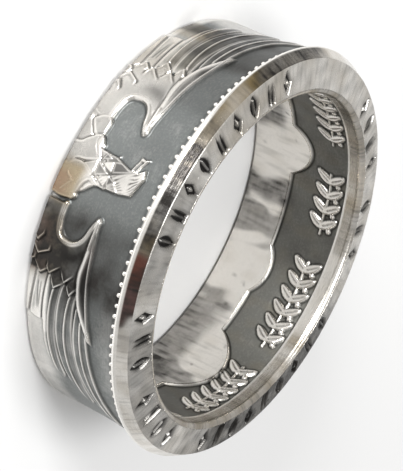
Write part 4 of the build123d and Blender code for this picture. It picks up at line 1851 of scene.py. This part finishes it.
@dataclass(frozen=True)
class Studio:
    """The pale floor, the soft lights and room, and the camera."""

    lights: tuple[SoftLight, ...] = (
        SoftLight("key", (-0.095, -0.235, 0.062), 0.09, 0.90),
        SoftLight("high", (-0.02, -0.05, 0.27), 0.16, 0.46),
    )
    camera: PhotoCamera = PhotoCamera()
    paper: PalePaper = PalePaper()
    floor_half: float = 0.6
    floor_height: float = -2e-5
    room: tuple[tuple[float, str], ...] = ((0.0, "#d2d1cf"), (0.35, "#ecebe9"), (1.0, "#cacaca"))
    room_strength: float = 0.82

    def build(self) -> None:
        """Builds the floor, world, lights and camera."""
        self.floor()
        self.world()
        for light in self.lights:
            light.build()
        self.camera.build()
        bpy.context.scene.view_settings.view_transform = "Standard"

    def floor(self) -> None:
        """A plain pale floor just under the ring."""
        mesh = bpy.data.meshes.new("floor")
        signs = ((-1, -1), (1, -1), (1, 1), (-1, 1))
        corners = [(i * self.floor_half, j * self.floor_half, self.floor_height) for i, j in signs]
        mesh.from_pydata(corners, [], [(0, 1, 2, 3)])
        mesh.materials.append(self.paper.build())
        made = bpy.data.objects.new("floor", mesh)
        bpy.context.scene.collection.objects.link(made)

    def world(self) -> None:
        """Soft room light: palest a little above the horizon."""
        world = bpy.data.worlds.new("soft_room")
        bpy.context.scene.world = world
        world.use_nodes = True
        tree = world.node_tree
        coordinates = add_node(tree, "ShaderNodeTexCoord", {}, {})
        parts = add_node(tree, "ShaderNodeSeparateXYZ", {}, {"Vector": coordinates.outputs["Generated"]})
        ramp = add_node(tree, "ShaderNodeValToRGB", {}, {"Fac": parts.outputs["Z"]})
        stops = ramp.color_ramp.elements
        low, middle, high = self.room
        stops[0].position, stops[0].color = low[0], hex_colour(low[1])
        stops[1].position, stops[1].color = high[0], hex_colour(high[1])
        stops.new(middle[0]).color = hex_colour(middle[1])
        background = tree.nodes["Background"]
        background.inputs["Strength"].default_value = self.room_strength
        tree.links.new(ramp.outputs["Color"], background.inputs["Color"])


def hand_in(piece: bpy.types.Object, material: bpy.types.Material) -> None:
    """Gives a piece its finish and ties it to the ring.

    Args:
        piece: The piece.
        material: Its finish, where it has none of its own.
    """
    if not piece.data.materials:
        piece.data.materials.append(material)
    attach(piece, "root")
    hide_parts("ring_band")
    LOG.info("%s: %d faces", piece.name, len(piece.data.polygons))


def main() -> None:
    """Builds the ring's pieces in order, then the studio."""
    logging.basicConfig(level=logging.INFO, format="%(name)s %(message)s")
    silver = StruckSilver().build()
    for stretch in WALL_STRETCHES:
        hand_in(StruckWall(stretch).build(), silver)
    hand_in(CoinEdge().build(), silver)
    hand_in(InnerBand().build(), silver)
    hand_in(BorderBeads().build(silver), silver)
    Studio().build()
    LOG.info("boxes written")


if __name__ == "__main__":
    main()
